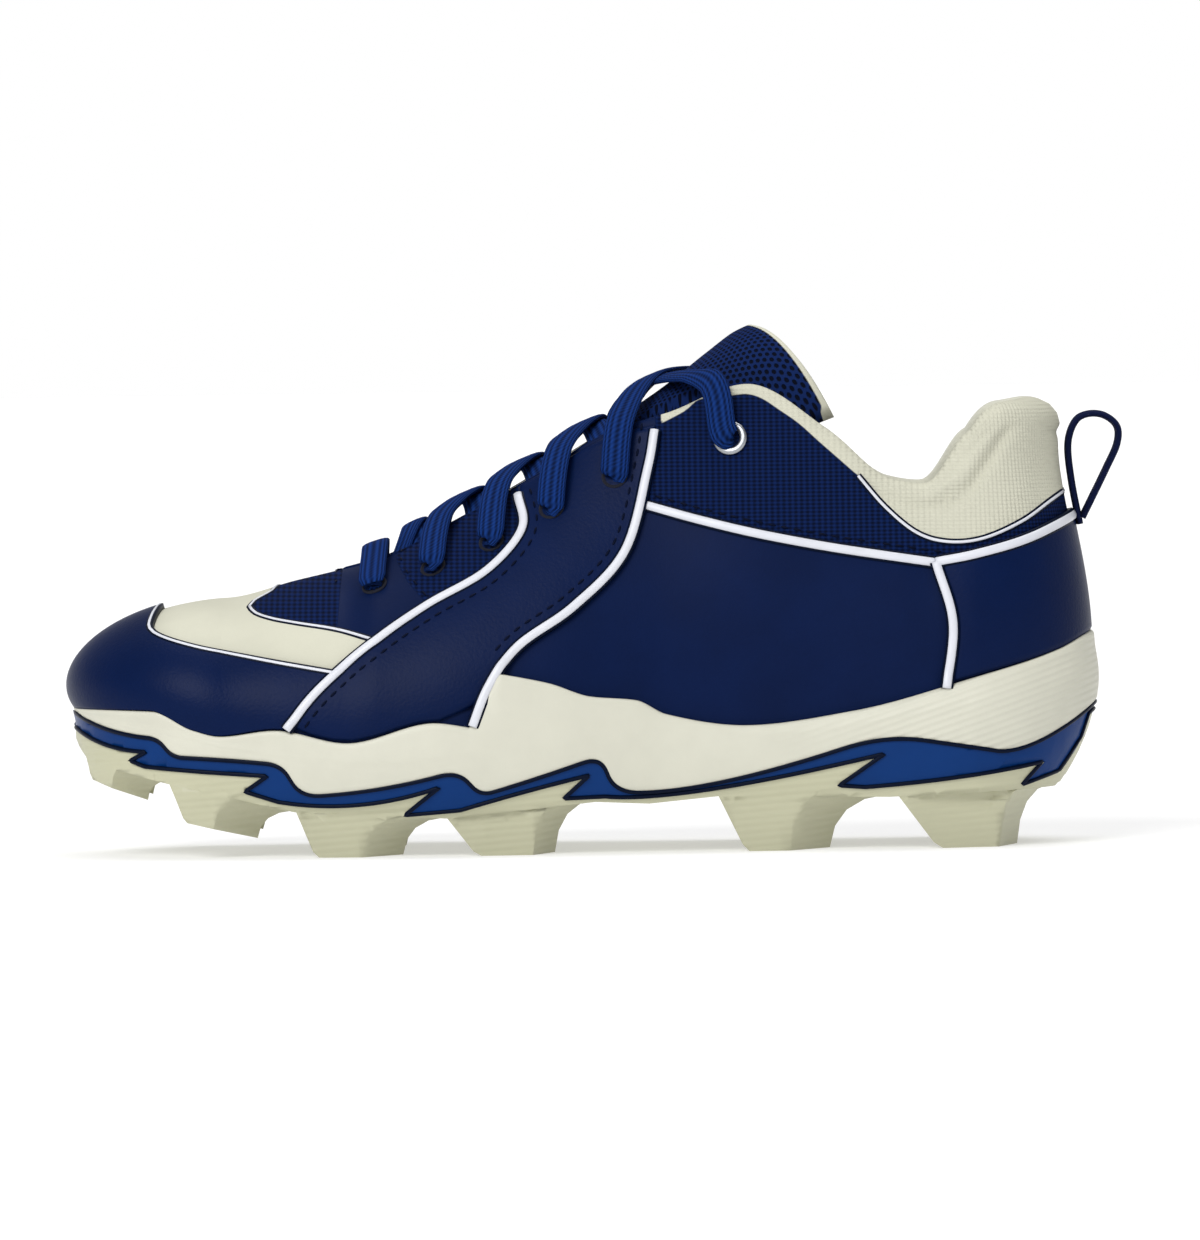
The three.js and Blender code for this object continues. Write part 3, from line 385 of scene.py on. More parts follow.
def inside_distance(points, outline):
    """Distance of side-view points from a closed outline, positive inside it."""
    a = np.asarray(outline, float)
    b = np.roll(a, -1, 0)
    best = np.full(len(points), 1e9)
    inside = np.zeros(len(points), bool)
    for p, q in zip(a, b):
        along = q - p
        t = np.clip((points - p) @ along / max(along @ along, 1e-12), 0, 1)
        best = np.minimum(best, np.linalg.norm(points - p - t[:, None] * along, axis=1))
        crosses = (p[1] > points[:, 1]) != (q[1] > points[:, 1])
        rise = q[1] - p[1] if abs(q[1] - p[1]) > 1e-12 else 1e-12
        inside ^= crosses & (points[:, 0] < p[0] + (points[:, 1] - p[1]) / rise * along[0])
    return np.where(inside, best, -best)


def feather_height(x):
    """Height of the midsole's top line."""
    along, at = FEATHER["along"], np.asarray(x, float) / LENGTH * 100
    stops = [0, *np.nonzero(FEATHER["corner"])[0], len(along) - 1]
    height = np.zeros(np.shape(at))
    for first, last in zip(stops, stops[1:]):
        piece = through(along[first : last + 1], FEATHER["height"][first : last + 1])
        here = (at >= along[first]) if first else np.ones(np.shape(at), bool)
        height = np.where(here, piece(at), height)
    return height / 100 * HEEL_STACK


def sole_radius(s, z, inset=0.0):
    """The sole's side wall at a height, seen from its spine."""
    top = feather_height(s.x + s.out_x * s.edge)
    above = (z - s.belly) / np.maximum(top - s.belly, 1)
    below = (s.belly - z) / (s.belly - 0.26 * HEEL_STACK)
    draw = np.where(z > s.belly, s.over * above**2, s.under * below**2)
    cup = np.where(z > s.foot_z, curve_at(s, height_at(s, z))[0] + CUP_RIM, 0)
    wall = s.edge - draw
    return (wall + cup + np.sqrt((wall - cup) ** 2 + 0.6)) / 2 - inset


def bow(a, m, b, count=24):
    """Curve that starts at a, passes m half way and ends at b."""
    t = np.linspace(0, 1, count + 1)[:, None]
    return (1 - t) ** 2 * a + 2 * t * (1 - t) * (2 * m - (a + b) / 2) + t * t * b


def flame_points(i, names):
    return [np.array([FLAMES[n + "X"][i] * LENGTH, FLAMES[n + "Z"][i] * HEEL_STACK]) / 100 for n in names]


def plate_top():
    """Side-view line along the flames' upper edges, its corners rounded as the plate's are."""
    tops = [bow(*flame_points(i, ["low", "rise", "crest"])) for i in range(len(FLAMES["lowX"]))]
    line = []
    for i, top in enumerate(tops):
        corner_in, corner_out = [], []
        if i:
            fall = top[0] - tops[i - 1][-1]
            reach = min(0.45 * np.linalg.norm(fall), 0.45 * np.linalg.norm(top[6] - top[0]))
            start = top[0] - unit(fall) * reach
            keep = np.linalg.norm(top - top[0], axis=1) > reach
            corner_in = corner_curve(start, top[0], top[keep][0])
            top = top[keep]
        if i < len(tops) - 1:
            fall = tops[i + 1][0] - tops[i][-1]
            reach = min(0.45 * np.linalg.norm(fall), 0.45 * np.linalg.norm(tops[i][-1] - tops[i][-7]))
            end = tops[i][-1] + unit(fall) * reach
            keep = np.linalg.norm(top - tops[i][-1], axis=1) > reach
            corner_out = corner_curve(top[keep][-1], tops[i][-1], end)
            top = top[keep]
        line.extend([*corner_in[:-1], *top, *corner_out[1:]])
    return np.array(line)


def corner_curve(a, corner, b):
    t = np.linspace(0, 1, 9)[:, None]
    return list((1 - t) ** 2 * a + 2 * t * (1 - t) * corner + t * t * b)


PLATE_TOP = plate_top()
HEEL_END = [(239.75, 17.8), (245.5, 25.8), (247.5, 31.5), (253.5, 35.5)]
PLATE_BOTTOM = []
for flame in range(len(FLAMES["rootX"])):
    root, belly, tip, barb = flame_points(flame, ["root", "belly", "tip", "barb"])
    PLATE_BOTTOM.extend([*bow(root, belly, tip), barb])
PLATE_BOTTOM = np.vstack([PLATE_BOTTOM, HEEL_END])


def on_sole(line, side):
    """Places round the sole's wall of side-view points."""
    x, z = np.asarray(line, float).T
    low, high = np.zeros(len(x)), np.full(len(x), 3.0)
    for _ in range(26):
        s = (low + high) / 2
        half_section = section(s if side == OUTER else 6 - s)
        behind = half_section.x + half_section.out_x * sole_radius(half_section, z) < x
        low, high = np.where(behind, s, low), np.where(behind, high, s)
    return (s if side == OUTER else 6 - s), z


def sole_frame(around, z, lift=0.0):
    """Points on the sole's wall and the directions straight out of it."""

    def point(u, height):
        s = section(u)
        return place(s, sole_radius(s, height), height)

    out = unit(np.cross(point(around + 2e-3, z) - point(around - 2e-3, z), point(around, z + 0.1) - point(around, z - 0.1)))
    return point(around, z) + out * lift, out


# The shoe's own frame inside the row's: the back of the midsole and the middle of the pull loop
heel_back = HEEL_SPINE + SECTIONS["lat"][-1] / 100 * BALL_WIDTH
loop_low, loop_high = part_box("pull_loop")
SHIFT = np.array([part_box("midsole")[1].x * 1000 - heel_back, (loop_low.y + loop_high.y) * 500, 0.0])


def to_metres(points):
    return (np.asarray(points, float) + SHIFT) / 1000


def linear(colour):
    """Linear colour of an sRGB hex value."""
    parts = [(colour >> shift & 255) / 255 for shift in (16, 8, 0)]
    return tuple(c / 12.92 if c <= 0.04045 else ((c + 0.055) / 1.055) ** 2.4 for c in parts)


def length(name, description, value, low, high):
    """A size of the dressing, in metres."""
    return FloatProperty(name=name, description=description, default=value, min=low, max=high, unit="LENGTH")


def colour(name, description, value):
    """A colour of the dressing, from its sRGB hex value."""
    return FloatVectorProperty(name=name, description=description, subtype="COLOR", default=linear(value), min=0, max=1)


class CleatSizes(PropertyGroup):
    piping_width: length("Piping width", "Width of the raised piping, in metres", 0.0022, 0.0005, 0.006)
    piping_height: length("Piping height", "How far the piping stands up", 0.00065, 0.0002, 0.003)
    # the dark line round the plate is painted shadow for the groove at its edge
    outline_width: length("Plate outline", "Width of the dark line round the plate", 0.001, 0.0004, 0.004)
    stitch_length: length("Stitch length", "Length of one stitch", 0.0021, 0.0008, 0.006)
    rib_spacing: length("Knit spacing", "From one row of the knit to the next", 0.00095, 0.0004, 0.004)


class CleatColours(PropertyGroup):
    navy: colour("Overlay", "Smooth overlays", 0x05173E)
    knit: colour("Knit", "Knitted panels", 0x07163A)
    cream: colour("Panels", "Vamp panel and collar", 0xC8C7B6)
    foam: colour("Midsole", "Midsole foam", 0xCAC9BA)
    stud: colour("Studs", "Studs and outsole", 0xB3B297)
    plate: colour("Plate", "Flame-edged plate", 0x0A326C)
    piping: colour("Piping", "Piping", 0xD3D5DD)
    lace: colour("Laces", "Laces", 0x0D285E)


def add_node(tree, kind, inputs=None, **settings):
    """Adds a node with its settings, its values and its links."""
    node = tree.nodes.new(kind)
    for name, value in settings.items():
        setattr(node, name, value)
    for socket, value in (inputs or {}).items():
        if isinstance(value, bpy.types.NodeSocket):
            tree.links.new(value, node.inputs[socket])
        else:
            node.inputs[socket].default_value = value
    return node


def new_material(name, colour, roughness):
    """A material, the means to add and link nodes, its shader, and the object's coordinates in millimetres."""
    material = bpy.data.materials.new(name)
    material.use_nodes = True
    tree = material.node_tree
    tree.nodes.clear()
    add = partial(add_node, tree)
    shader = add("ShaderNodeBsdfPrincipled", {"Base Color": (*colour, 1), "Roughness": roughness})
    add("ShaderNodeOutputMaterial", {"Surface": shader.outputs[0]})
    coordinates = add("ShaderNodeTexCoord")
    scaled = add("ShaderNodeVectorMath", {0: coordinates.outputs["Object"], "Scale": 1000.0}, operation="SCALE")
    return material, add, tree.links.new, shader, scaled.outputs[0]


def mottled(add, mm, colour, dark, size, amount):
    """Colour that wanders a little from place to place."""
    noise = add("ShaderNodeTexNoise", {"Vector": mm, "Scale": 1 / size, "Detail": 4.0, "Roughness": 0.6})
    factor = add("ShaderNodeMapRange", {0: noise.outputs[0], 1: 0.35, 2: 0.65, 3: 0.0, 4: amount})
    return add("ShaderNodeMix", {0: factor.outputs[0], 6: (*colour, 1), 7: (*dark, 1)}, data_type="RGBA").outputs[2]


def shade(colour, factor):
    return tuple(min(c * factor, 1.0) for c in colour)


def coated_leather(colours):
    """Polyurethane-coated synthetic leather, embossed with a fine grain: a soft broad gloss."""
    colour = tuple(colours.navy)
    material, add, link, shader, mm = new_material("coated_synthetic_leather", colour, 0.38)
    link(mottled(add, mm, colour, shade(colour, 0.82), 26, 0.8), shader.inputs["Base Color"])
    grain = add("ShaderNodeTexVoronoi", {"Vector": mm, "Scale": 1 / 0.8}, feature="SMOOTH_F1")
    fine = add("ShaderNodeTexNoise", {"Vector": mm, "Scale": 1 / 0.35, "Detail": 3.0})
    both = add("ShaderNodeMath", {0: grain.outputs[0], 1: fine.outputs[0]}, operation="ADD")
    bump = add("ShaderNodeBump", {"Height": both.outputs[0], "Distance": 0.035 / 1000})
    link(bump.outputs[0], shader.inputs["Normal"])
    shader.inputs["Specular IOR Level"].default_value = 0.06
    return material


def upper_cloth(colours, ribs):
    """Knitted and coated panels of the upper in one piece: matt ribs beside smooth cream and navy, the knit's ribs lit
    and its grooves shaded in painted colour.
    """
    navy, knit, cream = tuple(colours.navy), tuple(colours.knit), tuple(colours.cream)
    material, add, link, shader, mm = new_material("knitted_polyester_upper", navy, 0.6)
    split = add("ShaderNodeSeparateXYZ", {0: mm})

    def zone(name, edge=0.12):
        distance = add("ShaderNodeAttribute", attribute_name=name)
        return add("ShaderNodeMapRange", {0: distance.outputs["Fac"], 1: -edge, 2: edge}).outputs[0]

    smooth_navy = mottled(add, mm, navy, shade(navy, 0.8), 24, 0.8)
    girth = add("ShaderNodeAttribute", attribute_name="girth").outputs["Fac"]
    along = add("ShaderNodeMath", {0: girth, 1: math.pi / (ribs * 1500)}, operation="MULTIPLY").outputs[0]
    upward = add("ShaderNodeMath", {0: split.outputs["Z"], 1: math.pi / (ribs * 1000)}, operation="MULTIPLY").outputs[0]
    rising = add("ShaderNodeMath", {0: upward, 1: along}, operation="ADD").outputs[0]
    falling = add("ShaderNodeMath", {0: upward, 1: along}, operation="SUBTRACT").outputs[0]
    rising = add("ShaderNodeMath", {0: rising}, operation="SINE").outputs[0]
    falling = add("ShaderNodeMath", {0: falling}, operation="SINE").outputs[0]
    weave = add("ShaderNodeMath", {0: rising, 1: falling}, operation="MULTIPLY").outputs[0]
    rib_shade = add("ShaderNodeMapRange", {0: weave, 1: -0.75, 2: 0.75}).outputs[0]
    # painted shade and highlight: the knit is darkened in its grooves and lightened on its ribs, following the same
    # relief as its bump
    painted_rib_shadow, high = (*shade(knit, 0.4), 1), (*shade(knit, 1.7), 1)
    knit_with_painted_light = add("ShaderNodeMix", {0: rib_shade, 6: painted_rib_shadow, 7: high}, data_type="RGBA").outputs[2]
    smooth_cream = mottled(add, mm, cream, shade(cream, 0.93), 18, 0.8)
    ribbed = add("ShaderNodeMath", {0: zone("vamp_knit"), 1: zone("collar_knit")}, operation="MAXIMUM").outputs[0]
    open_knit = add("ShaderNodeMath", {0: 1.0, 1: zone("eyestay")}, operation="SUBTRACT").outputs[0]
    ribbed = add("ShaderNodeMath", {0: ribbed, 1: open_knit}, operation="MULTIPLY").outputs[0]
    pale = add("ShaderNodeMath", {0: zone("vamp_panel"), 1: zone("heel_panel")}, operation="MAXIMUM").outputs[0]
    pale = add("ShaderNodeMath", {0: pale, 1: zone("binding")}, operation="MAXIMUM").outputs[0]
    colour = add("ShaderNodeMix", {0: ribbed, 6: smooth_navy, 7: knit_with_painted_light}, data_type="RGBA").outputs[2]
    colour = add("ShaderNodeMix", {0: pale, 6: colour, 7: smooth_cream}, data_type="RGBA").outputs[2]
    link(colour, shader.inputs["Base Color"])
    rough = add("ShaderNodeMapRange", {0: ribbed, 3: 0.5, 4: 0.85}).outputs[0]
    link(rough, shader.inputs["Roughness"])
    grain = add("ShaderNodeTexNoise", {"Vector": mm, "Scale": 1 / 0.5, "Detail": 3.0}).outputs[0]
    cloth = add("ShaderNodeMath", {0: grain, 1: 0.25}, operation="MULTIPLY").outputs[0]
    heel_cells = add("ShaderNodeMath", {0: rib_shade, 1: zone("heel_panel", 1.2)}, operation="MULTIPLY").outputs[0]
    relief = add("ShaderNodeMath", {0: rib_shade, 1: ribbed, 2: cloth}, operation="MULTIPLY_ADD").outputs[0]
    relief = add("ShaderNodeMath", {0: heel_cells, 1: 0.45, 2: relief}, operation="MULTIPLY_ADD").outputs[0]
    bump = add("ShaderNodeBump", {"Height": relief, "Distance": 0.16 / 1000})
    link(bump.outputs[0], shader.inputs["Normal"])
    shader.inputs["Specular IOR Level"].default_value = 0.06
    return material


def lining_cloth(colours):
    """Brushed polyester lining over foam: matt and soft, with a fine warp knit."""
    cream = tuple(colours.cream)
    material, add, link, shader, mm = new_material("brushed_polyester_lining", cream, 0.95)
    link(mottled(add, mm, cream, shade(cream, 0.88), 9, 0.9), shader.inputs["Base Color"])
    cells = add("ShaderNodeTexVoronoi", {"Vector": mm, "Scale": 1 / 0.9})
    bump = add("ShaderNodeBump", {"Height": cells.outputs[0], "Distance": 0.12 / 1000})
    link(bump.outputs[0], shader.inputs["Normal"])
    shader.inputs["Sheen Weight"].default_value = 0.4
    return material


def insole_cloth(colours):
    """Polyester cloth laminated on sock-liner foam: a dense flat weave."""
    knit = tuple(colours.knit)
    material, add, link, shader, mm = new_material("laminated_polyester_cloth", knit, 0.9)
    threads = {"Color1": (*knit, 1), "Color2": (*shade(knit, 1.25), 1), "Mortar": (*shade(knit, 0.5), 1)}
    sizes = {"Scale": 1.0, "Brick Width": 1.2, "Row Height": 0.6, "Mortar Size": 0.1}
    checks = add("ShaderNodeTexBrick", {"Vector": mm, **sizes, **threads})
    link(checks.outputs[0], shader.inputs["Base Color"])
    bump = add("ShaderNodeBump", {"Height": checks.outputs["Fac"], "Distance": 0.08 / 1000})
    link(bump.outputs[0], shader.inputs["Normal"])
    shader.inputs["Sheen Weight"].default_value = 0.3
    return material


def midsole_foam(colours):
    """Compression-moulded EVA foam with a painted skin: satin, very slightly mottled."""
    foam = tuple(colours.foam)
    material, add, link, shader, mm = new_material("moulded_eva_foam", foam, 0.52)
    link(mottled(add, mm, foam, shade(foam, 0.94), 14, 0.8), shader.inputs["Base Color"])
    split = add("ShaderNodeSeparateXYZ", {0: mm})
    skew = add("ShaderNodeMath", {0: split.outputs["X"], 1: -0.33, 2: split.outputs["Z"]}, operation="MULTIPLY_ADD")
    turn = add("ShaderNodeMath", {0: skew.outputs[0], 1: 2 * math.pi / 1.7}, operation="MULTIPLY")
    wave = add("ShaderNodeMath", {0: turn.outputs[0]}, operation="SINE")
    heel = add("ShaderNodeMapRange", {0: split.outputs["X"], 1: 42.0, 2: 78.0})
    groove = add("ShaderNodeMath", {0: wave.outputs[0], 1: heel.outputs[0]}, operation="MULTIPLY")
    skin = add("ShaderNodeTexNoise", {"Vector": mm, "Scale": 1 / 0.6, "Detail": 3.0})
    relief = add("ShaderNodeMath", {0: skin.outputs[0], 1: 0.25, 2: groove.outputs[0]}, operation="MULTIPLY_ADD")
    bump = add("ShaderNodeBump", {"Height": relief.outputs[0], "Distance": 0.07 / 1000})
    link(bump.outputs[0], shader.inputs["Normal"])
    return material


def stud_rubber(colours):
    """Injection-moulded TPU studs: satin, with fine tooling steps across each stud, darkened towards the floor and
    lightened higher up as painted shade and light.
    """
    stud = tuple(colours.stud)
    material, add, link, shader, mm = new_material("moulded_tpu_studs", stud, 0.46)
    split = add("ShaderNodeSeparateXYZ", {0: mm})
    # painted shade and light: the studs darken towards the floor and lighten higher up
    low = add("ShaderNodeMapRange", {0: split.outputs["Z"], 1: 0.0, 2: 22.0, 3: 0.0, 4: 1.0})
    painted_floor_shade = add("ShaderNodeMix", {0: low.outputs[0], 6: (*shade(stud, 0.93), 1), 7: (*shade(stud, 1.06), 1)}, data_type="RGBA").outputs[2]
    link(painted_floor_shade, shader.inputs["Base Color"])
    tilt = add("ShaderNodeMath", {0: split.outputs["X"], 1: -0.08, 2: split.outputs["Z"]}, operation="MULTIPLY_ADD")
    turn = add("ShaderNodeMath", {0: tilt.outputs[0], 1: 2 * math.pi / 1.7}, operation="MULTIPLY")
    wave = add("ShaderNodeMath", {0: turn.outputs[0]}, operation="SINE")
    skin = add("ShaderNodeTexNoise", {"Vector": mm, "Scale": 1 / 0.7, "Detail": 3.0})
    relief = add("ShaderNodeMath", {0: skin.outputs[0], 1: 0.3, 2: wave.outputs[0]}, operation="MULTIPLY_ADD")
    bump = add("ShaderNodeBump", {"Height": relief.outputs[0], "Distance": 0.045 / 1000})
    link(bump.outputs[0], shader.inputs["Normal"])
    return material


def plate_plastic(colours):
    """Injection-moulded nylon plate: smooth with a soft gloss."""
    blue = tuple(colours.plate)
    material, add, link, shader, mm = new_material("moulded_nylon", blue, 0.32)
    link(mottled(add, mm, blue, shade(blue, 0.85), 20, 0.7), shader.inputs["Base Color"])
    skin = add("ShaderNodeTexNoise", {"Vector": mm, "Scale": 1 / 0.9, "Detail": 2.0})
    bump = add("ShaderNodeBump", {"Height": skin.outputs[0], "Distance": 0.02 / 1000})
    link(bump.outputs[0], shader.inputs["Normal"])
    shader.inputs["Specular IOR Level"].default_value = 0.08
    return material


def groove_shadow_paint(colours):
    """Painted shadow: a thin, satin, near-black line standing for the shade in the grooves at the plate's edges and
    beside the piping.
    """
    material, add, link, shader, mm = new_material("painted_groove_shadow", shade(tuple(colours.plate), 0.1), 0.4)
    skin = add("ShaderNodeTexNoise", {"Vector": mm, "Scale": 1 / 0.8, "Detail": 2.0})
    bump = add("ShaderNodeBump", {"Height": skin.outputs[0], "Distance": 0.02 / 1000})
    link(bump.outputs[0], shader.inputs["Normal"])
    shader.inputs["Specular IOR Level"].default_value = 0.08
    return material


def piping_plastic(colours):
    """Welded TPU piping: pale, rounded, slightly glossy."""
    pale = tuple(colours.piping)
    material, add, link, shader, mm = new_material("welded_tpu_piping", pale, 0.38)
    link(mottled(add, mm, pale, shade(pale, 0.93), 6, 0.8), shader.inputs["Base Color"])
    skin = add("ShaderNodeTexNoise", {"Vector": mm, "Scale": 1 / 0.5, "Detail": 2.0})
    bump = add("ShaderNodeBump", {"Height": skin.outputs[0], "Distance": 0.02 / 1000})
    link(bump.outputs[0], shader.inputs["Normal"])
    return material


def woven_tape(name, colour, pitch, depth, roughness=0.85):
    """Woven polyester tape: ridges along it crossed by short picks, with painted highlight on the ridges and painted
    shade between them, dull with a little sheen.
    """
    material, add, link, shader, mm = new_material(name, colour, roughness)
    uv = add("ShaderNodeUVMap", uv_map="UVMap")
    split = add("ShaderNodeSeparateXYZ", {0: uv.outputs[0]})
    lengthwise = add("ShaderNodeMath", {0: split.outputs["Y"], 1: 2 * math.pi / pitch}, operation="MULTIPLY")
    ridge = add("ShaderNodeMath", {0: lengthwise.outputs[0]}, operation="SINE")
    crossed = add("ShaderNodeMath", {0: split.outputs["X"], 1: 2 * math.pi / (pitch * 1.3), 2: lengthwise.outputs[0]}, operation="MULTIPLY_ADD")
    pick = add("ShaderNodeMath", {0: crossed.outputs[0]}, operation="SINE")
    weave = add("ShaderNodeMath", {0: pick.outputs[0], 1: 0.45, 2: ridge.outputs[0]}, operation="MULTIPLY_ADD")
    tone = add("ShaderNodeMapRange", {0: weave.outputs[0], 1: -1.3, 2: 1.3})
    # painted highlight and shade: the tape is lightened on its ridges and darkened between them, following its bump
    painted_weave_light = add("ShaderNodeMix", {0: tone.outputs[0], 6: (*shade(colour, 0.3), 1), 7: (*shade(colour, 1.5), 1)}, data_type="RGBA")
    link(painted_weave_light.outputs[2], shader.inputs["Base Color"])
    bump = add("ShaderNodeBump", {"Height": tone.outputs[0], "Distance": depth / 1000})
    link(bump.outputs[0], shader.inputs["Normal"])
    shader.inputs["Specular IOR Level"].default_value = 0.06
    return material


def tongue_mesh(colours):
    """Open hexagonal spacer mesh over foam, with a pale edge binding; the mesh's holes are darkened as painted shade
    between paler navy strands.
    """
    knit, cream = tuple(colours.knit), tuple(colours.cream)
    material, add, link, shader, mm = new_material("polyester_spacer_mesh", knit, 0.85)
    uv = add("ShaderNodeUVMap", uv_map="UVMap")
    rings = None
    for turn in (0, 60, 120):
        across = (math.cos(math.radians(turn)) * 2 * math.pi / 1.15, math.sin(math.radians(turn)) * 2 * math.pi / 1.15, 0)
        dot = add("ShaderNodeVectorMath", {0: uv.outputs[0], 1: across}, operation="DOT_PRODUCT")
        wave = add("ShaderNodeMath", {0: dot.outputs["Value"]}, operation="COSINE").outputs[0]
        rings = wave if rings is None else add("ShaderNodeMath", {0: rings, 1: wave}, operation="ADD").outputs[0]
    hole = add("ShaderNodeMapRange", {0: rings, 1: -0.1, 2: 1.2})
    # painted shade: the mesh's holes are darkened to near black, the strands a paler navy
    mesh_with_painted_hole_shade = add("ShaderNodeMix", {0: hole.outputs[0], 6: (*shade(knit, 1.9), 1), 7: (*shade(knit, 0.2), 1)}, data_type="RGBA").outputs[2]
    edge = add("ShaderNodeAttribute", attribute_name="edge_binding")
    pale = add("ShaderNodeMapRange", {0: edge.outputs["Fac"], 1: 0.35, 2: 0.5}).outputs[0]
    colour = add("ShaderNodeMix", {0: pale, 6: mesh_with_painted_hole_shade, 7: (*cream, 1)}, data_type="RGBA").outputs[2]
    link(colour, shader.inputs["Base Color"])
    depth = add("ShaderNodeMath", {0: 1.0, 1: hole.outputs[0]}, operation="SUBTRACT")
    flat = add("ShaderNodeMath", {0: depth.outputs[0], 1: pale}, operation="MAXIMUM")
    bump = add("ShaderNodeBump", {"Height": flat.outputs[0], "Distance": 0.35 / 1000})
    link(bump.outputs[0], shader.inputs["Normal"])
    shader.inputs["Specular IOR Level"].default_value = 0.08
    return material


def ring_metal():
    """Nickel-plated brass eyelet: bright, faintly brushed round its rim."""
    material, add, link, shader, mm = new_material("nickel_plated_brass", linear(0x9FA2A6), 0.34)
    shader.inputs["Metallic"].default_value = 1.0
    scratch = add("ShaderNodeTexNoise", {"Vector": mm, "Scale": 1 / 0.3, "Detail": 4.0})
    bump = add("ShaderNodeBump", {"Height": scratch.outputs[0], "Distance": 0.01 / 1000})
    link(bump.outputs[0], shader.inputs["Normal"])
    return material


def eyelet_shadow_paint():
    """Painted shadow for the inside of a punched eyelet: near-black and matt, with a fine bump."""
    material, add, link, shader, mm = new_material("painted_eyelet_shadow", linear(0x060A1C), 0.95)
    pores = add("ShaderNodeTexNoise", {"Vector": mm, "Scale": 1 / 0.4, "Detail": 3.0})
    bump = add("ShaderNodeBump", {"Height": pores.outputs[0], "Distance": 0.1 / 1000})
    link(bump.outputs[0], shader.inputs["Normal"])
    return material


def grid_piece(name, columns, rows, surface, attributes=(), uv_size=(1.0, 1.0), merge=1e-6, keep=None):
    """A grid whose corners are moved onto a surface of two parameters from 0 to 1."""
    bm = bmesh.new()
    bm.loops.layers.uv.new("UVMap")
    bmesh.ops.create_grid(bm, x_segments=columns, y_segments=rows, size=1.0, calc_uvs=True)
    mesh = bpy.data.meshes.new(name)
    bm.to_mesh(mesh)
    bm.free()
    co = np.empty(len(mesh.vertices) * 3)
    mesh.vertices.foreach_get("co", co)
    u, v = (co.reshape(-1, 3)[:, :2].T + 1) / 2
    moved = surface(u, v)
    points, extra = moved if isinstance(moved, tuple) else (moved, {})
    mesh.vertices.foreach_set("co", to_metres(points).ravel())
    layer = mesh.uv_layers[0].data
    uv = np.empty(len(layer) * 2)
    layer.foreach_get("uv", uv)
    uv = uv.reshape(-1, 2) * np.array(uv_size)
    if "uv" in extra:
        corner = np.empty(len(mesh.loops), np.int32)
        mesh.loops.foreach_get("vertex_index", corner)
        uv = extra["uv"][corner]
    layer.foreach_set("uv", uv.ravel())
    for key in attributes:
        data = mesh.attributes.new(key, "FLOAT", "POINT")
        data.data.foreach_set("value", np.asarray(extra[key], np.float32))
    bm = bmesh.new()
    bm.from_mesh(mesh)
    if keep is not None:
        bm.faces.ensure_lookup_table()
        drop = [face for face in bm.faces if not keep(face)]
        bmesh.ops.delete(bm, geom=drop, context="FACES")
    bmesh.ops.remove_doubles(bm, verts=bm.verts[:], dist=merge)
    bmesh.ops.dissolve_degenerate(bm, edges=bm.edges[:], dist=merge)
    open_edges = [edge for edge in bm.edges if edge.is_boundary]
    if open_edges:
        bmesh.ops.holes_fill(bm, edges=open_edges, sides=0)
    bmesh.ops.recalc_face_normals(bm, faces=bm.faces[:])
    for face in bm.faces:
        face.smooth = True
    bm.to_mesh(mesh)
    bm.free()
    piece = bpy.data.objects.new(name, mesh)
    bpy.context.scene.collection.objects.link(piece)
    return piece


def settle(piece, material, slot, *nodes):
    """Gives a piece its material and hands it to the frame."""
    if not piece.data.materials:
        piece.data.materials.append(material)
    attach(piece, "root")
    if nodes:
        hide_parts(*nodes)
    return piece


def sweep(name, points, out, profile, closed=False, taper=None):
    """A closed profile of (across, outwards) millimetres carried along points, looking outwards."""
    points, out = np.asarray(points, float), unit(np.asarray(out, float))
    if closed:
        along = unit(np.roll(points, -1, 0) - np.roll(points, 1, 0))
        points, out, along = (np.vstack([a, a[:1]]) for a in (points, out, along))
    else:
        along = unit(np.gradient(points, axis=0))
    side = unit(np.cross(along, out))
    lift = unit(np.cross(side, along))
    profile = np.vstack([profile, profile[:1]])
    count, steps = len(points) - 1, len(profile) - 1
    length = np.linalg.norm(np.diff(points, axis=0), axis=1).sum()
    girth = np.linalg.norm(np.diff(profile, axis=0), axis=1).sum()

    def surface(u, v):
        i = np.rint(u * count).astype(int)
        k = np.rint(v * steps).astype(int)
        size = 1 if taper is None else taper[i][:, None]
        return points[i] + side[i] * profile[k, :1] * size + lift[i] * profile[k, 1:]

    return grid_piece(name, count, steps, surface, uv_size=(length, girth))


def half_round(width, height, base=-0.35, count=7):
    """Profile of piping: a low round top on a flat base sunk into what carries it."""
    turn = np.linspace(0, np.pi, count)
    top = np.stack([np.cos(turn) * width / 2, np.sin(turn) * height], -1)
    return np.vstack([top, [(-width / 2, base), (width / 2, base)]])[::-1]


def joined(name, pieces):
    """One object from several."""
    bpy.ops.object.select_all(action="DESELECT")
    for piece in pieces:
        piece.select_set(True)
    bpy.context.view_layer.objects.active = pieces[0]
    bpy.ops.object.join()
    pieces[0].name = pieces[0].data.name = name
    return pieces[0]


def round_shoe(spacing=0.9):
    """Places round the whole shoe, nearly evenly spaced at the sole's edge and the same on both sides."""
    fine = np.linspace(0, 3, 2001)
    s = section(fine)
    line = place(s, s.edge, 0)
    run = np.concatenate([[0], np.cumsum(np.linalg.norm(np.diff(line, axis=0), axis=1))])
    half = np.interp(np.linspace(0, run[-1], int(run[-1] / spacing) + 1), run, fine)
    return np.concatenate([half, 6 - half[-2::-1]])


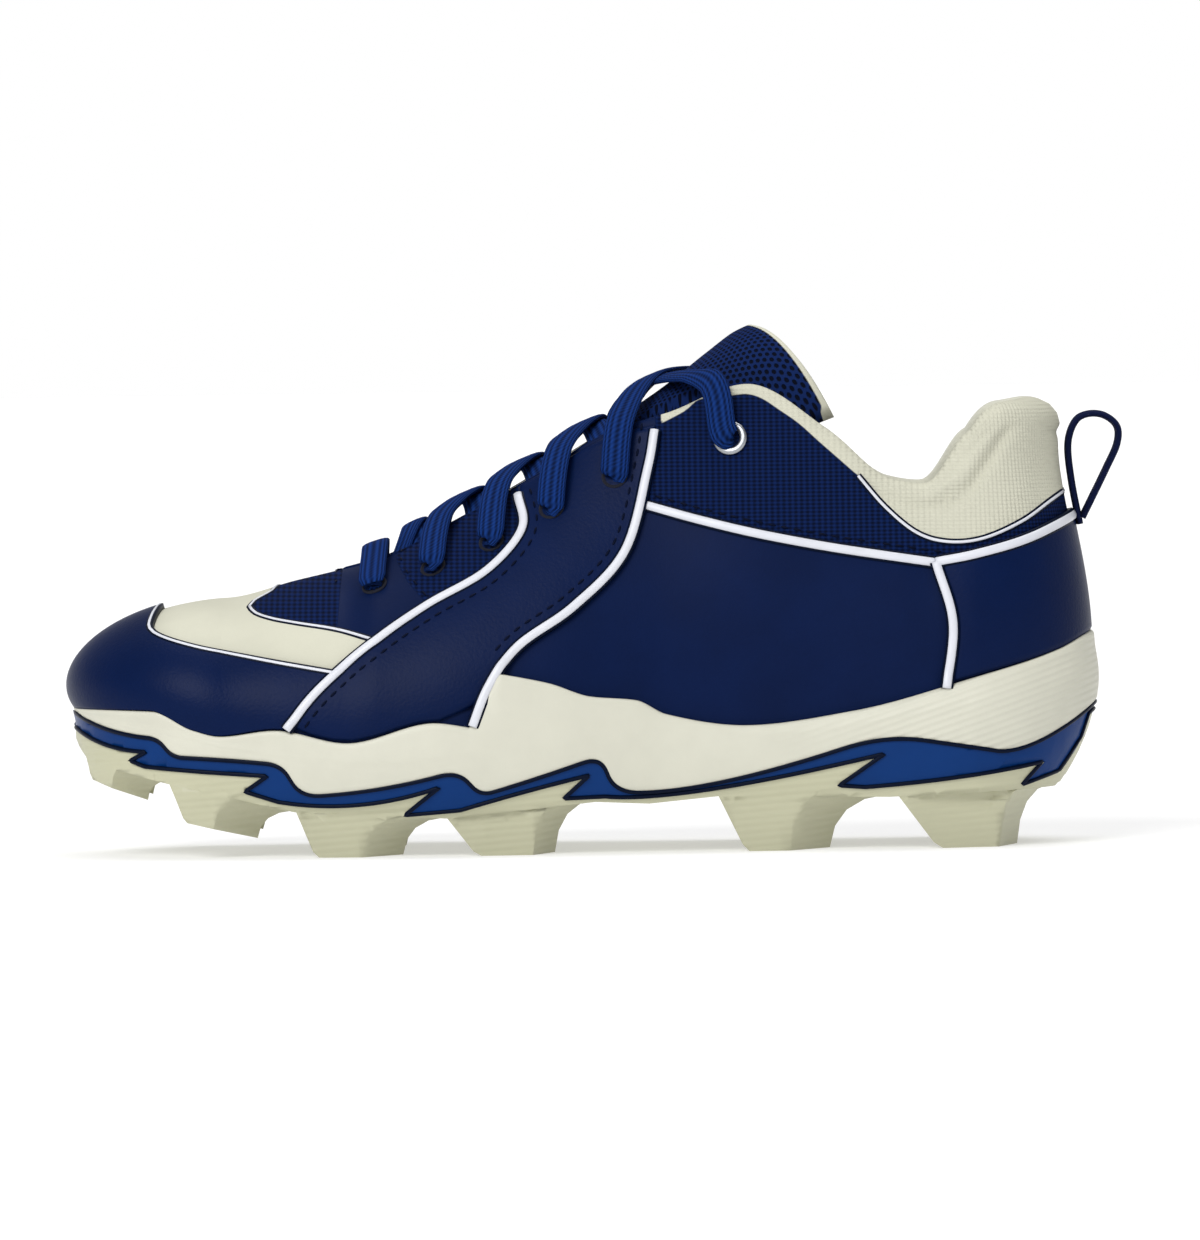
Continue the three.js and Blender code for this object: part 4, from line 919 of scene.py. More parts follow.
def upper_shell(colours, sizes):
    """The upper in one piece: outer face with its panels, rounded edge, lining."""
    around = round_shoe(0.95)
    outer_rows, rim_rows, inner_rows = 84, 6, 26
    rows = outer_rows + rim_rows + inner_rows + 1
    s = section(around)
    edge_line = place(s, s.edge, 0)
    run = np.concatenate([[0], np.cumsum(np.linalg.norm(np.diff(edge_line, axis=0), axis=1))])
    thick_at = lambda part, t: WALL + (part.pad - WALL) * smooth(0.6, 0.97, t)

    def inner(part, t):
        radius, z = curve_at(part, t, -thick_at(part, t))
        closed_top = (t > 1 - 1e-9) & part.closed
        z = np.where(closed_top, part.top_z - WALL, np.where(t < 1e-9, part.foot_z, z))
        return place(part, np.where(closed_top, 0, np.maximum(radius, 0)), z)

    def surface(u, v):
        at = np.rint(u * (len(around) - 1)).astype(int)
        part = section(around[at])
        row = np.rint(v * rows)
        t_out = np.clip(row / outer_rows, 0, 1)
        rim = np.clip((row - outer_rows) / rim_rows, 0, 1)
        t_in = np.clip(1 - (row - outer_rows - rim_rows) / inner_rows, 0, 1)
        outside = place(part, *curve_at(part, t_out))
        above = inside_distance(outside[:, [0, 2]], np.vstack([curve_through(ROLL_SEAM), [(262, 100), (262, 130), (190, 130)]]))
        roll = 0.7 * np.exp(-(((above - 3.2) / 2.0) ** 2)) * (above > 0) - 1.0 * np.exp(-((above / 1.5) ** 2))
        roll = roll * smooth(190, 197, outside[:, 0]) * smooth(1, 0.93, t_out)
        outside = place(part, *curve_at(part, t_out, roll))
        edge_out, edge_in = place(part, *curve_at(part, np.ones(len(u)))), inner(part, np.ones(len(u)))
        swell = np.where(part.closed, 0, np.linalg.norm(edge_in - edge_out, axis=1) / 2) * np.sin(np.pi * rim)
        bend = ((1 - np.cos(np.pi * rim)) / 2)[:, None]
        lip = edge_out * (1 - bend) + edge_in * bend
        lip[:, 2] += swell
        points = np.where((row <= outer_rows)[:, None], outside, lip)
        points = np.where((row > outer_rows + rim_rows)[:, None], inner(part, t_in), points)
        points = np.where((row >= rows)[:, None], place(part, *curve_at(part, np.zeros(len(u)))), points)
        side_view = points[:, [0, 2]]
        front = curve_through(SADDLE_FRONT)
        low, high = curve_through(WINDOW_LOW), curve_through(WINDOW_TOP)
        panel = np.vstack([[(24, 90)], curve_through(TOE_CAP), front[front[:, 1] > 44][:40], low[::-1], high[1:], [(58, 90)]])
        panel = panel[np.concatenate([[True], np.abs(np.diff(panel[:, 0])) + np.abs(np.diff(panel[:, 1])) > 1e-6])]
        cut = front[(front[:, 0] > 75) | (front[:, 1] > 60)]
        window = np.vstack([high[::-1], low[1:], cut, [(109, 130), (58, 130)]])
        stay = np.vstack([STAY_FRONT, [(75, 40), (90, 50)], STAY_REAR[::-1], [(80, 90), (66.4, 90)]])
        rear = curve_through(SADDLE_REAR)
        below = [curve_through(COUNTER_TOP)[::-1], curve_through(COLLAR_SEAM)[::-1][1:]]
        collar = np.vstack([rear[rear[:, 1] > 83.9], [(143, 130), (260, 130)], *below])
        heel = np.vstack([curve_through(HEEL_PANEL), [(262, 92), (262, 130), (191.7, 130)]])
        binding = np.vstack([curve_through(BINDING), [(196, 130), (144.3, 130)]])
        zones = {
            "vamp_panel": inside_distance(side_view, panel),
            "vamp_knit": inside_distance(side_view, window),
            "eyestay": inside_distance(side_view, stay),
            "collar_knit": inside_distance(side_view, collar),
            "heel_panel": inside_distance(side_view, heel),
            "binding": inside_distance(side_view, binding),
            "girth": run[at],
            "row": row,
        }
        return points, zones

    names = ["vamp_panel", "vamp_knit", "eyestay", "collar_knit", "heel_panel", "binding", "girth", "row"]
    middle = to_metres([(0, 0, 0)])[0][1]
    keep = lambda face: not all(abs(vert.co.y - middle) < 2e-6 for vert in face.verts)
    piece = grid_piece("upper_shell", len(around) - 1, rows, surface, names, keep=keep)
    piece.data.materials.append(upper_cloth(colours, sizes.rib_spacing))
    piece.data.materials.append(lining_cloth(colours))
    row = np.empty(len(piece.data.vertices), np.float32)
    piece.data.attributes["row"].data.foreach_get("value", row)
    for face in piece.data.polygons:
        if min(row[i] for i in face.vertices) > outer_rows + rim_rows * 0.4:
            face.material_index = 1
    return piece


def patch(name, bottom, top, left, right, lift, columns, rows):
    """A patch between four lines of (around, up) places on the upper, at a height above it."""

    def at(line, share):
        line = np.asarray(line, float)
        run = np.concatenate([[0], np.cumsum(np.linalg.norm(np.diff(line * (60, 60), axis=0), axis=1))])
        return np.stack([np.interp(share * run[-1], run, line[:, k]) for k in (0, 1)], -1)

    def spot(u, v):
        ruled = at(bottom, u) * (1 - v)[:, None] + at(top, u) * v[:, None]
        crossed = at(left, v) * (1 - u)[:, None] + at(right, v) * u[:, None]
        b0, b1, t0, t1 = (np.asarray(p, float) for p in (bottom[0], bottom[-1], top[0], top[-1]))
        corner = (
            b0 * ((1 - u) * (1 - v))[:, None]
            + b1 * (u * (1 - v))[:, None]
            + t0 * ((1 - u) * v)[:, None]
            + t1 * (u * v)[:, None]
        )
        return (ruled + crossed - corner).T

    def surface(u, v):
        around, up = spot(u, v)
        edge = np.minimum(np.minimum(u, 1 - u) * columns, np.minimum(v, 1 - v) * rows)
        return upper_frame(around, np.clip(up, 0, 1), lift * np.clip(0.55 + edge * 0.25, 0, 1))[0]

    return grid_shell(name, columns, rows, surface, lift)


def grid_shell(name, columns, rows, surface, thickness):
    """A sheet on a surface, given its thickness inwards."""
    bm = bmesh.new()
    bm.loops.layers.uv.new("UVMap")
    bmesh.ops.create_grid(bm, x_segments=columns, y_segments=rows, size=1.0, calc_uvs=True)
    co = np.array([vert.co[:2] for vert in bm.verts])
    u, v = (co.T + 1) / 2
    for vert, point in zip(bm.verts, to_metres(surface(u, v))):
        vert.co = point
    bmesh.ops.remove_doubles(bm, verts=bm.verts[:], dist=2e-6)
    bmesh.ops.dissolve_degenerate(bm, edges=bm.edges[:], dist=2e-6)
    middle = Vector(to_metres([(LENGTH / 2, 0, 30)])[0])
    if sum(face.normal.dot(face.calc_center_median() - middle) * face.calc_area() for face in bm.faces) < 0:
        bmesh.ops.reverse_faces(bm, faces=bm.faces[:])
    for face in bm.faces:
        face.smooth = True
    mesh = bpy.data.meshes.new(name)
    bm.to_mesh(mesh)
    bm.free()
    piece = bpy.data.objects.new(name, mesh)
    bpy.context.scene.collection.objects.link(piece)
    wall = piece.modifiers.new("thickness", "SOLIDIFY")
    wall.thickness = thickness / 1000
    wall.offset = -1
    wall.use_even_offset = False
    return piece


def places(line, side):
    """Pairs of (around, up) for the side-view points that the upper reaches."""
    around, up = locate(line, side)
    s = section(around)
    reached = np.abs(s.x + s.out_x * curve_at(s, up)[0] - np.asarray(line, float)[:, 0]) < 0.2
    return np.stack([around, up], -1)[reached]


def above_feather(line, gap=0.5):
    line = np.asarray(line, float)
    return line[line[:, 1] > feather_height(line[:, 0]) + gap]


def feather_places_at(around, gap=0.5):
    """How far up the upper the midsole's top line lies."""
    s = section(around)
    z = np.full(np.shape(around), 35.0)
    for _ in range(14):
        z = feather_height(s.x + s.out_x * curve_at(s, height_at(s, z))[0]) + gap
    return height_at(s, z)


def feather_places(start, end, spacing=1.5):
    """Places just above the midsole's top line, round the shoe from one place to another."""
    around = np.linspace(start, end, max(int(abs(end - start) * 60 / spacing), 2))
    return np.stack([around, feather_places_at(around)], -1)


def saddle_patch(side):
    front = places(above_feather(curve_through(SADDLE_FRONT)), side)
    rear = places(above_feather(curve_through(SADDLE_REAR)), side)
    bottom = feather_places(front[0, 0], rear[0, 0])
    bottom = bottom[bottom[:, 1] < max(front[0, 1], rear[0, 1]) - 0.005]
    bottom = np.vstack([front[:1], bottom[1:-1], rear[:1]])
    top_around = np.linspace(front[-1, 0], rear[-1, 0], 30)
    top = np.stack([top_around, np.full(30, 0.985)], -1)
    front, rear = np.vstack([front, top[:1]]), np.vstack([rear, top[-1:]])
    name = "saddle_overlay_" + ("outer" if side == OUTER else "inner")
    return patch(name, bottom, top, front, rear, CLEARANCE + OVERLAY, 70, 90)


def crest_place(x):
    """The place on the middle line of the foot's top at a distance from the toe tip."""
    if x > TOE_SPINE:
        return 1 + (x - TOE_SPINE) / (HEEL_SPINE - TOE_SPINE), 0.9995
    up = np.linspace(0, 1, 401)
    return 0.0, float(np.interp(x, upper_point(np.zeros(401), up)[:, 0], up))


def toe_cap_top():
    """The toe cap's upper edge from the inner side over the foot to the outer side."""
    line = curve_through(TOE_CAP, 0.8)
    inner, outer = places(line, INNER), places(line, OUTER)
    inner[:, 0] -= 6
    top = np.vstack([inner[::-1], [crest_place(TOE_CAP_CREST)], outer])
    return top[np.concatenate([[True], np.diff(top[:, 0]) > 1e-4])]


def toe_cap_patch():
    """The toe cap from its end on the outer side round the toe to its end on the inner side."""
    top = toe_cap_top()
    front = above_feather(curve_through(SADDLE_FRONT))
    front = front[front[:, 0] <= 65.5]
    end_in, end_out = places(front, INNER), places(front, OUTER)
    end_in[:, 0] -= 6

    def surface(u, v):
        around = top[0, 0] + u * (top[-1, 0] - top[0, 0])
        low = feather_places_at(around)
        for end, sign in ((end_in, -1), (end_out, 1)):
            beyond = around * sign > end[0, 0] * sign
            order = np.argsort(end[:, 0])
            low = np.where(beyond, np.interp(around, end[order, 0], end[order, 1]), low)
        high = np.interp(around, top[:, 0], top[:, 1])
        up = low + (np.maximum(high, low) - low) * v
        return upper_frame(around, np.clip(up, 0, 1), CLEARANCE + OVERLAY)[0]

    return grid_shell("toe_cap_overlay", 190, 36, surface, CLEARANCE + OVERLAY)


def counter_patch():
    """The heel counter from one side round the heel to the other."""
    ends = [places(above_feather(curve_through(COUNTER)), side) for side in (OUTER, INNER)]
    tops = [places(curve_through(COUNTER_TOP), side) for side in (OUTER, INNER)]
    top = np.vstack([tops[0], tops[1][::-1]])
    top = top[np.concatenate([[True], np.diff(top[:, 0]) > 1e-4])]
    bottom = feather_places(ends[0][0, 0], ends[1][0, 0])
    bottom[0], bottom[-1] = ends[0][0], ends[1][0]
    top[0], top[-1] = ends[0][-1], ends[1][-1]
    return patch("heel_counter_overlay", bottom, top, ends[0], ends[1], CLEARANCE + OVERLAY, 120, 50)


def piping(line, side, sizes, lift=OVERLAY + CLEARANCE):
    """A strip of piping along a side-view line, raised where it meets the midsole's step."""
    line = even(line, 0.9)
    around, up = locate(line, side)
    rise = lift + 0.95 * smooth(3.5, 0.5, line[:, 1] - feather_height(line[:, 0]))
    points, out = upper_frame(around, np.clip(up, 0, 1), rise)
    return trimmed(points, out, sizes.piping_width * 1000, sizes.piping_height * 1000)


def trimmed(points, out, width, height):
    """A pale strip and a wider dark strip beneath it, painted shadow along both its edges."""
    pale = sweep("strip", points, out, half_round(width, height, -1.3))
    return pale, sweep("shadow_line", points, out, half_round(width + 0.9, 0.16, -1.3, 5))


def edge_strip(run, lift):
    """A thin pale edge through places on the upper."""
    points, out = upper_frame(run[:, 0], run[:, 1], np.full(len(run), lift))
    return trimmed(points, out, 0.8, 0.3)


def edging(line, lift, crest=None):
    """A thin pale edge along a side-view line on both sides, from the top of the foot where it has a crest."""
    strips = []
    for side in (OUTER, INNER):
        run = places(even(curve_through(line), 0.8), side)
        run = run[run[:, 1] < 0.994]
        if crest is not None:
            around, up = crest_place(crest)
            run = np.vstack([[(around if side == OUTER else 6 - around, up)], run])
        strips.append(edge_strip(run, lift))
    return strips


def midsole_band():
    """The midsole's wall from the plate's line to its top line, with rounded edges."""
    around = round_shoe(0.7)
    s = section(around)
    flames = PLATE_TOP[np.concatenate([[True], np.diff(PLATE_TOP[:, 0]) > 1e-6])]

    def solve(height_of):
        z = np.full(len(around), 30.0)
        for _ in range(16):
            z = 0.5 * z + 0.5 * height_of(s.x + s.out_x * sole_radius(s, z))
        return z

    low = solve(lambda x: np.interp(x, flames[:, 0], flames[:, 1])) + 0.15
    high = solve(feather_height)
    curl = 0.9
    steps = np.concatenate([[0, 0.12, 0.35, 0.9], np.linspace(0, 1, 16)[1:-1] + 2, 4 - np.array([0.9, 0.35, 0.12, 0])])
    rows = len(steps) + 4

    def surface(u, v):
        i = np.rint(u * (len(around) - 1)).astype(int)
        k = np.rint(v * rows).astype(int)
        part = section(around[i])
        lo, hi = low[i], high[i]
        wall = np.minimum(k, len(steps) - 1)
        step = steps[wall]
        share = np.where((step >= 2) & (step < 3), step - 2, 0)
        z = np.where(step < 1.5, lo + step, np.where(step < 3, lo + curl + (hi - lo - 2 * curl) * share, hi - (4 - step)))
        gap = np.minimum(z - lo, hi - z)
        inset = np.where(gap < curl, curl - np.sqrt(np.maximum(curl**2 - (curl - gap) ** 2, 0)), 0)
        radius = sole_radius(part, z) - inset
        past = k - (len(steps) - 1)
        inner_top = curve_at(part, height_at(part, hi))[0] + 0.1
        foot_radius = part.foot - 14
        foot_z = part.foot_z - 0.35
        radius = np.select([past == 1, past == 2, past == 3, past == 4], [inner_top, part.foot + 0.1, foot_radius, foot_radius], radius)
        z = np.select([past == 1, past == 2, past == 3, past == 4], [hi, foot_z, foot_z, np.minimum(lo, foot_z - 0.5)], z)
        last = k == rows
        radius = np.where(last, sole_radius(part, lo) - curl, radius)
        z = np.where(last, lo, z)
        return place(part, radius, z)

    return grid_piece("midsole_wall", len(around) - 1, rows, surface)


def moulded_copy(node, name, snap):
    """A CAD solid's copy, cut finely enough to take the sole's true round wall."""
    bm = bmesh.new()
    bm.from_mesh(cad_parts[node].data)
    bmesh.ops.remove_doubles(bm, verts=bm.verts[:], dist=2e-6)
    bmesh.ops.dissolve_limit(bm, angle_limit=math.radians(0.6), verts=bm.verts[:], edges=bm.edges[:])
    shift = to_metres([(0, 0, 0)])[0]

    def slice_at(value, axis, near=None):
        normal = [0.0, 0.0, 0.0]
        normal[axis] = 1.0
        geom = bm.verts[:] + bm.edges[:] + bm.faces[:]
        if near is not None:
            faces = [face for face in bm.faces if near(face.calc_center_median().x - shift[0])]
            edges = {edge for face in faces for edge in face.edges}
            verts = {vert for face in faces for vert in face.verts}
            geom = list(verts) + list(edges) + faces
        point = [0.0, 0.0, 0.0]
        point[axis] = value / 1000 + shift[axis]
        bmesh.ops.bisect_plane(bm, geom=geom, dist=1e-7, plane_co=point, plane_no=normal)

    for x in np.arange(3, 250, 3.5):
        slice_at(x, 0)
    ends = lambda x: x < 0.045 or x > 0.21
    for y in np.arange(-42, 43, 3.5):
        slice_at(y, 1, ends)
    for z in np.arange(8, 36, 3.5):
        slice_at(z, 2)
    verts = bm.verts[:]
    co = (np.array([vert.co[:] for vert in verts]) * 1000) - SHIFT
    x, y, z = co.T
    toe, heel = x < TOE_SPINE, x > HEEL_SPINE
    across = np.abs(y)
    turn = np.where(toe, np.arctan2(across, TOE_SPINE - x), np.arctan2(x - HEEL_SPINE, across))
    s_at = np.where(toe, turn / (np.pi / 2), np.where(heel, 2 + turn / (np.pi / 2), 1 + (x - TOE_SPINE) / (HEEL_SPINE - TOE_SPINE)))
    radius = np.where(toe, np.hypot(TOE_SPINE - x, y), np.where(heel, np.hypot(x - HEEL_SPINE, y), across))
    part = section(np.where(y < 0, s_at, 6 - s_at))
    target = sole_radius(part, z, PLATE_INSET)
    ground = np.interp(x, UNDERSIDE["along"] / 100 * LENGTH, UNDERSIDE["height"] / 100 * HEEL_STACK)
    weight = smooth(-5, -0.5, z - ground) * ((radius - target) > -snap) * ((radius - target) < 0.45)
    moved = place(part, radius + (target - radius) * weight, z)
    for vert, point in zip(verts, to_metres(moved)):
        vert.co = point
    mesh = bpy.data.meshes.new(name)
    bmesh.ops.dissolve_degenerate(bm, edges=bm.edges[:], dist=1e-6)
    for face in bm.faces:
        face.smooth = True
    bm.to_mesh(mesh)
    bm.free()
    mesh.set_sharp_from_angle(angle=math.radians(32))
    piece = bpy.data.objects.new(name, mesh)
    bpy.context.scene.collection.objects.link(piece)
    return piece


def plate_groove_shadow(line, side):
    """A dark line of painted shadow along a side-view line of the sole."""
    line = even(line, 0.6)
    around, z = on_sole(line, side)
    s = around if side == OUTER else 6 - around
    inside = (s > 1e-4) & (s < 3 - 1e-4)
    points, out = sole_frame(around[inside], z[inside], -0.1)
    return points, out


def eyelet_frame(k, side):
    """An eyelet's place on the upper and its outward direction."""
    around, up = locate([(EYELETS["along"][k] / 100 * LENGTH, EYELETS["height"][k] / 100 * INSTEP_HEIGHT)], side)
    points, out = upper_frame(around, up, np.zeros(1))
    return points[0], out[0]


def rounded_tape(width, thickness, count=14):
    """Profile of a soft flat tape, thicker in its middle."""
    turn = np.linspace(0, 2 * np.pi, count, endpoint=False)
    across = np.sign(np.cos(turn)) * np.abs(np.cos(turn)) ** 0.75 * width / 2
    through_it = np.sign(np.sin(turn)) * np.abs(np.sin(turn)) ** 0.8 * thickness / 2
    return np.stack([across, through_it], -1)


def lace(name, stops, faces, tucked):
    """A flat lace through stops, its face turning from one to the next, narrowed where it enters an eyelet."""
    stops, faces = np.asarray(stops, float), np.asarray(faces, float)
    line = curve_through(stops, 0.6)
    share = np.linspace(0, len(stops) - 1, len(line))
    face = np.stack([np.interp(share, np.arange(len(stops)), faces[:, k]) for k in range(3)], -1)
    run = np.concatenate([[0], np.cumsum(np.linalg.norm(np.diff(line, axis=0), axis=1))])
    taper = np.ones(len(line))
    for end, reach in zip(tucked, (run, run[-1] - run)):
        if end:
            taper = np.minimum(taper, 0.5 + 0.5 * smooth(0.5, 5.5, reach))
    return sweep(name, line, face, rounded_tape(LACE_WIDTH, LACE_THICKNESS), taper=taper)


TONGUE_RIDGE = through(TONGUE["along"] / 100 * LENGTH, TONGUE["height"] / 100 * TONGUE_TOP)


def on_edge(x, side, beyond, rise):
    """A point near the throat's edge."""
    s = section(1 + (x - TOE_SPINE) / (HEEL_SPINE - TOE_SPINE) if side == OUTER else 5 - (x - TOE_SPINE) / (HEEL_SPINE - TOE_SPINE))
    return place(s, s.half + beyond, s.top_z + rise)


def lace_lift(k):
    covered = SADDLE_FRONT[-1][0] < EYELETS["along"][k] / 100 * LENGTH < SADDLE_REAR[-1][0]
    return CLEARANCE + 0.6 * LACE_THICKNESS + (CLEARANCE + OVERLAY if covered else 0)


def lace_strand(k, side, last):
    """A strand from an eyelet over the tongue to the edge opposite, or into the top eyelet."""
    point, out = eyelet_frame(k, side)
    goal, goal_out = eyelet_frame(k + 1, -side)
    up = unit(np.array([-0.45, 0, 1.0]))
    middle_x = point[0] + 0.038 * LENGTH
    throat = on_edge(middle_x, side, 0, 0)[2]
    ridge = float(TONGUE_RIDGE(middle_x))
    over = 0.9 if side == OUTER else -0.3
    middle = np.array([middle_x, 0, max(throat + 4.2, ridge + 3.4) + over])
    if k == 0:
        stops, faces = [on_edge(point[0] + 6, side, -3.6, -1.2)], [up]
    else:
        stops = [point - out * 1.8, point + out * (lace_lift(k) + 0.5) + [0.3, 0, 1.6], on_edge(point[0] + 2.0, side, 1.2, 3.8)]
        faces = [out, out, out * 0.5 + up * 0.5]
    stops.append(middle)
    faces.append(up)
    if last:
        stops += [on_edge(goal[0] - 5, -side, 0.5, 5.4), goal + goal_out * 2.6 + [-1.2, 0, 1.2], goal - goal_out * 1.5 + [0.6, 0, -0.6]]
        faces += [up, goal_out, goal_out]
    else:
        stops.append(on_edge(goal[0] - 3, -side, -3.6, -0.8))
        faces.append(up)
    return lace("strand", stops, faces, (k > 0, last))


def start_bar():
    """The bar across the lowest pair of eyelets."""
    (a, out_a), (b, out_b) = eyelet_frame(0, OUTER), eyelet_frame(0, INNER)
    x, lift = a[0], lace_lift(0)
    up = unit(np.array([-0.3, 0, 1.0]))
    top = on_edge(x, OUTER, 0, 0)[2]
    stops = [a - out_a * 1.5, a + out_a * (lift + 0.5), on_edge(x, OUTER, 0, 3.2), (x, 0, top + 4)]
    stops += [on_edge(x, INNER, 0, 3.2), b + out_b * (lift + 0.5), b - out_b * 1.5]
    faces = [out_a, out_a, out_a * 0.4 + up * 0.6, up, out_b * 0.4 + up * 0.6, out_b, out_b]
    return lace("lace_start_bar", stops, faces, (True, True))


def under_upper(x, y):
    """Highest the tongue may reach under the eyestays."""
    reach = np.abs(y)
    share = 1 + (np.maximum(x, 67.0) - TOE_SPINE) / (HEEL_SPINE - TOE_SPINE)
    s = section(np.where(y < 0, share, 6 - share))
    level = np.full(np.shape(x), 1e9)
    for t in np.arange(1, 0.3, -0.02):
        at = np.full(np.shape(x), t)
        radius, z = curve_at(s, at, -(WALL + (s.pad - WALL) * smooth(0.6, 0.97, at)))
        covered = radius >= reach + 0.6
        level = np.where((level > 1e8) & covered, z - CLEARANCE - 0.4, level)
    return np.where(reach < s.half - s.pad - 2.5, 1e9, level)


def tongue_pad():
    """The tongue, pressed under the eyestays and free above them, with a rounded edge."""
    get = {name: through(np.arange(len(values)), values) for name, values in TONGUE.items()}
    rows, columns = 84, 56
    reach = math.pi * 0.44

    def sheet(u, v, depth):
        at = u * (len(TONGUE["along"]) - 1)
        bend = (v * 2 - 1) * reach
        out, back = np.sin(bend) / math.sin(reach), (1 - np.cos(bend)) / (1 - math.cos(reach))
        corner = smooth(0.9, 1, u) * np.abs(v * 2 - 1) ** 3
        y = get["half"](at) / 100 * BALL_WIDTH * out * (1 - 0.12 * corner)
        x = get["along"](at) / 100 * LENGTH + get["sweep"](at) / 100 * BALL_WIDTH * back
        fall = get["drop"](at) / 100 * BALL_WIDTH * back ** (1 + 0.8 * smooth(0.5, 1, u))
        z = get["height"](at) / 100 * TONGUE_TOP - fall
        z = np.minimum(z, under_upper(x, y))
        shift = unit(np.stack([0.35 * smooth(0.5, 1, u), -out * 0.5, -np.ones(len(u))], -1))
        return np.stack([x, y, z], -1) + shift * depth[:, None]

    def surface(u, v):
        ring = v * 2
        front = ring <= 1
        across = np.where(front, ring, 2 - ring)
        rim = np.minimum(np.minimum(across, 1 - across) * 26, (1 - u) * 34)
        round_off = 1 - np.sqrt(np.clip(1 - (1 - np.clip(rim, 0, 1)) ** 2, 0, 1))
        half = TONGUE_THICKNESS / 2
        depth = np.where(front, half * round_off, TONGUE_THICKNESS - half * round_off)
        points = sheet(u, across, depth)
        width = np.hypot(get["half"](u * 8), get["drop"](u * 8)) / 100 * BALL_WIDTH * 1.1
        flat = np.stack([np.interp(u, fine, length_run), (across * 2 - 1) * width], -1)
        edge = np.where(front, 0, 1.0) * (u > 0.5) + (u > 0.5) * np.clip(1.3 - (1 - u) * 22, 0, 1)
        return points, {"edge_binding": np.clip(edge, 0, 1), "uv": flat}

    fine = np.linspace(0, 1, 60)
    ridge = np.stack([get["along"](fine * 8) / 100 * LENGTH, get["height"](fine * 8) / 100 * TONGUE_TOP], -1)
    length_run = np.concatenate([[0], np.cumsum(np.linalg.norm(np.diff(ridge, axis=0), axis=1))])
    return grid_piece("tongue_pad", rows, columns * 2, surface, ["edge_binding"])


def loop_webbing():
    """The pull loop: webbing from the heel, up over and back to its own foot."""
    s = section(3.0)
    foot = 0.774 * INSTEP_HEIGHT
    back = lambda z: float(s.x + curve_at(s, height_at(s, min(z, float(s.top_z))))[0])
    off = CLEARANCE + OVERLAY + CLEARANCE + LOOP_THICKNESS / 2
    at = lambda across, up: (across, foot + up / 100 * LOOP_HEIGHT)
    lie = lambda up: at(back(foot + up / 100 * LOOP_HEIGHT) + off, up)
    bulge = lambda across, up: at(back(foot) + across / 100 * LOOP_HEIGHT, up)
    turns = [(6, 92), (17, 99), (32, 98), (44, 88), (44, 72), (34, 50), (20, 22)]
    centre = [lie(0), lie(40), lie(72), *(bulge(across, up) for across, up in turns)]
    line = curve_through(centre, 0.5)
    line = np.vstack([line, line[:1] + (0.6, 1.5)])
    points = np.stack([line[:, 0], np.zeros(len(line)), line[:, 1]], -1)
    along = np.gradient(points, axis=0)
    out = np.cross(along, np.broadcast_to([0.0, 1.0, 0.0], along.shape))
    return sweep("pull_loop_webbing", points, out, rounded_tape(LOOP_WIDTH, LOOP_THICKNESS, 16))


def stitches(name, line, side, length, lift):
    """A row of stitches along a side-view line, each a short rounded bar."""
    line = even(line, length * 1.45)
    around, up = locate(line, side)
    points, out = upper_frame(around, np.clip(up, 0, 1), np.full(len(up), lift))
    along = unit(np.gradient(points, axis=0))
    bm = bmesh.new()
    for point, tangent, normal in zip(points, along, out):
        made = bmesh.ops.create_uvsphere(bm, u_segments=6, v_segments=4, radius=1.0)["verts"]
        cross = np.cross(normal, tangent)
        for vert in made:
            local = np.array(vert.co)
            at = point + tangent * local[2] * length / 2 + cross * local[0] * 0.32 + normal * local[1] * 0.2
            vert.co = to_metres(at)
    bmesh.ops.recalc_face_normals(bm, faces=bm.faces[:])
    for face in bm.faces:
        face.smooth = True
    mesh = bpy.data.meshes.new(name)
    bm.to_mesh(mesh)
    bm.free()
    piece = bpy.data.objects.new(name, mesh)
    bpy.context.scene.collection.objects.link(piece)
    return piece


def beside(line, distance):
    """A side-view line moved to its left-hand side."""
    line = np.asarray(line, float)
    along = unit(np.gradient(line, axis=0))
    return line + np.stack([-along[:, 1], along[:, 0]], -1) * distance


def eyelet_disc(k, side, lift):
    """The bore of an eyelet, sunk in a low rim: a dark disc of painted shadow where the hole's shade falls."""
    point, out = eyelet_frame(k, side)
    first = unit(np.cross(out, [0.0, 0.3, 1.0]))
    second = np.cross(out, first)
    turn = np.linspace(0, 2 * np.pi, 29)
    bore = EYELET_BORE / 2 + 0.4
    rim = [(0.0, lift - 0.2), (bore - 0.4, lift - 0.2), (bore, lift + 0.05), (bore + 0.25, lift + 0.12)]
    rim += [(bore + 0.5, lift - 0.1), (bore, lift - 0.9), (0.0, lift - 0.9)]

    def surface(u, v):
        i, j = np.rint(u * 28).astype(int), np.rint(v * 6).astype(int)
        r, h = np.array(rim)[j].T
        a = turn[i]
        return point + out * h[:, None] + (first * np.cos(a)[:, None] + second * np.sin(a)[:, None]) * r[:, None]

    return grid_piece("eyelet_bore", 28, 6, surface, merge=2e-6)


def eyelet_ring(side, lift):
    """The top eyelet's metal ring, turned from a rounded profile."""
    point, out = eyelet_frame(5, side)
    first = unit(np.cross(out, [0.0, 0.3, 1.0]))
    second = np.cross(out, first)
    middle, half = (RING_OUTER + EYELET_BORE) / 4, (RING_OUTER - EYELET_BORE) / 4

    def surface(u, v):
        a, b = u * 2 * np.pi, v * 2 * np.pi
        r = middle + half * np.cos(b)
        h = lift + 0.45 * np.sin(b)
        return point + out * h[:, None] + (first * np.cos(a)[:, None] + second * np.sin(a)[:, None]) * r[:, None]

    return grid_piece("eyelet_ring_" + ("outer" if side == OUTER else "inner"), 40, 12, surface)


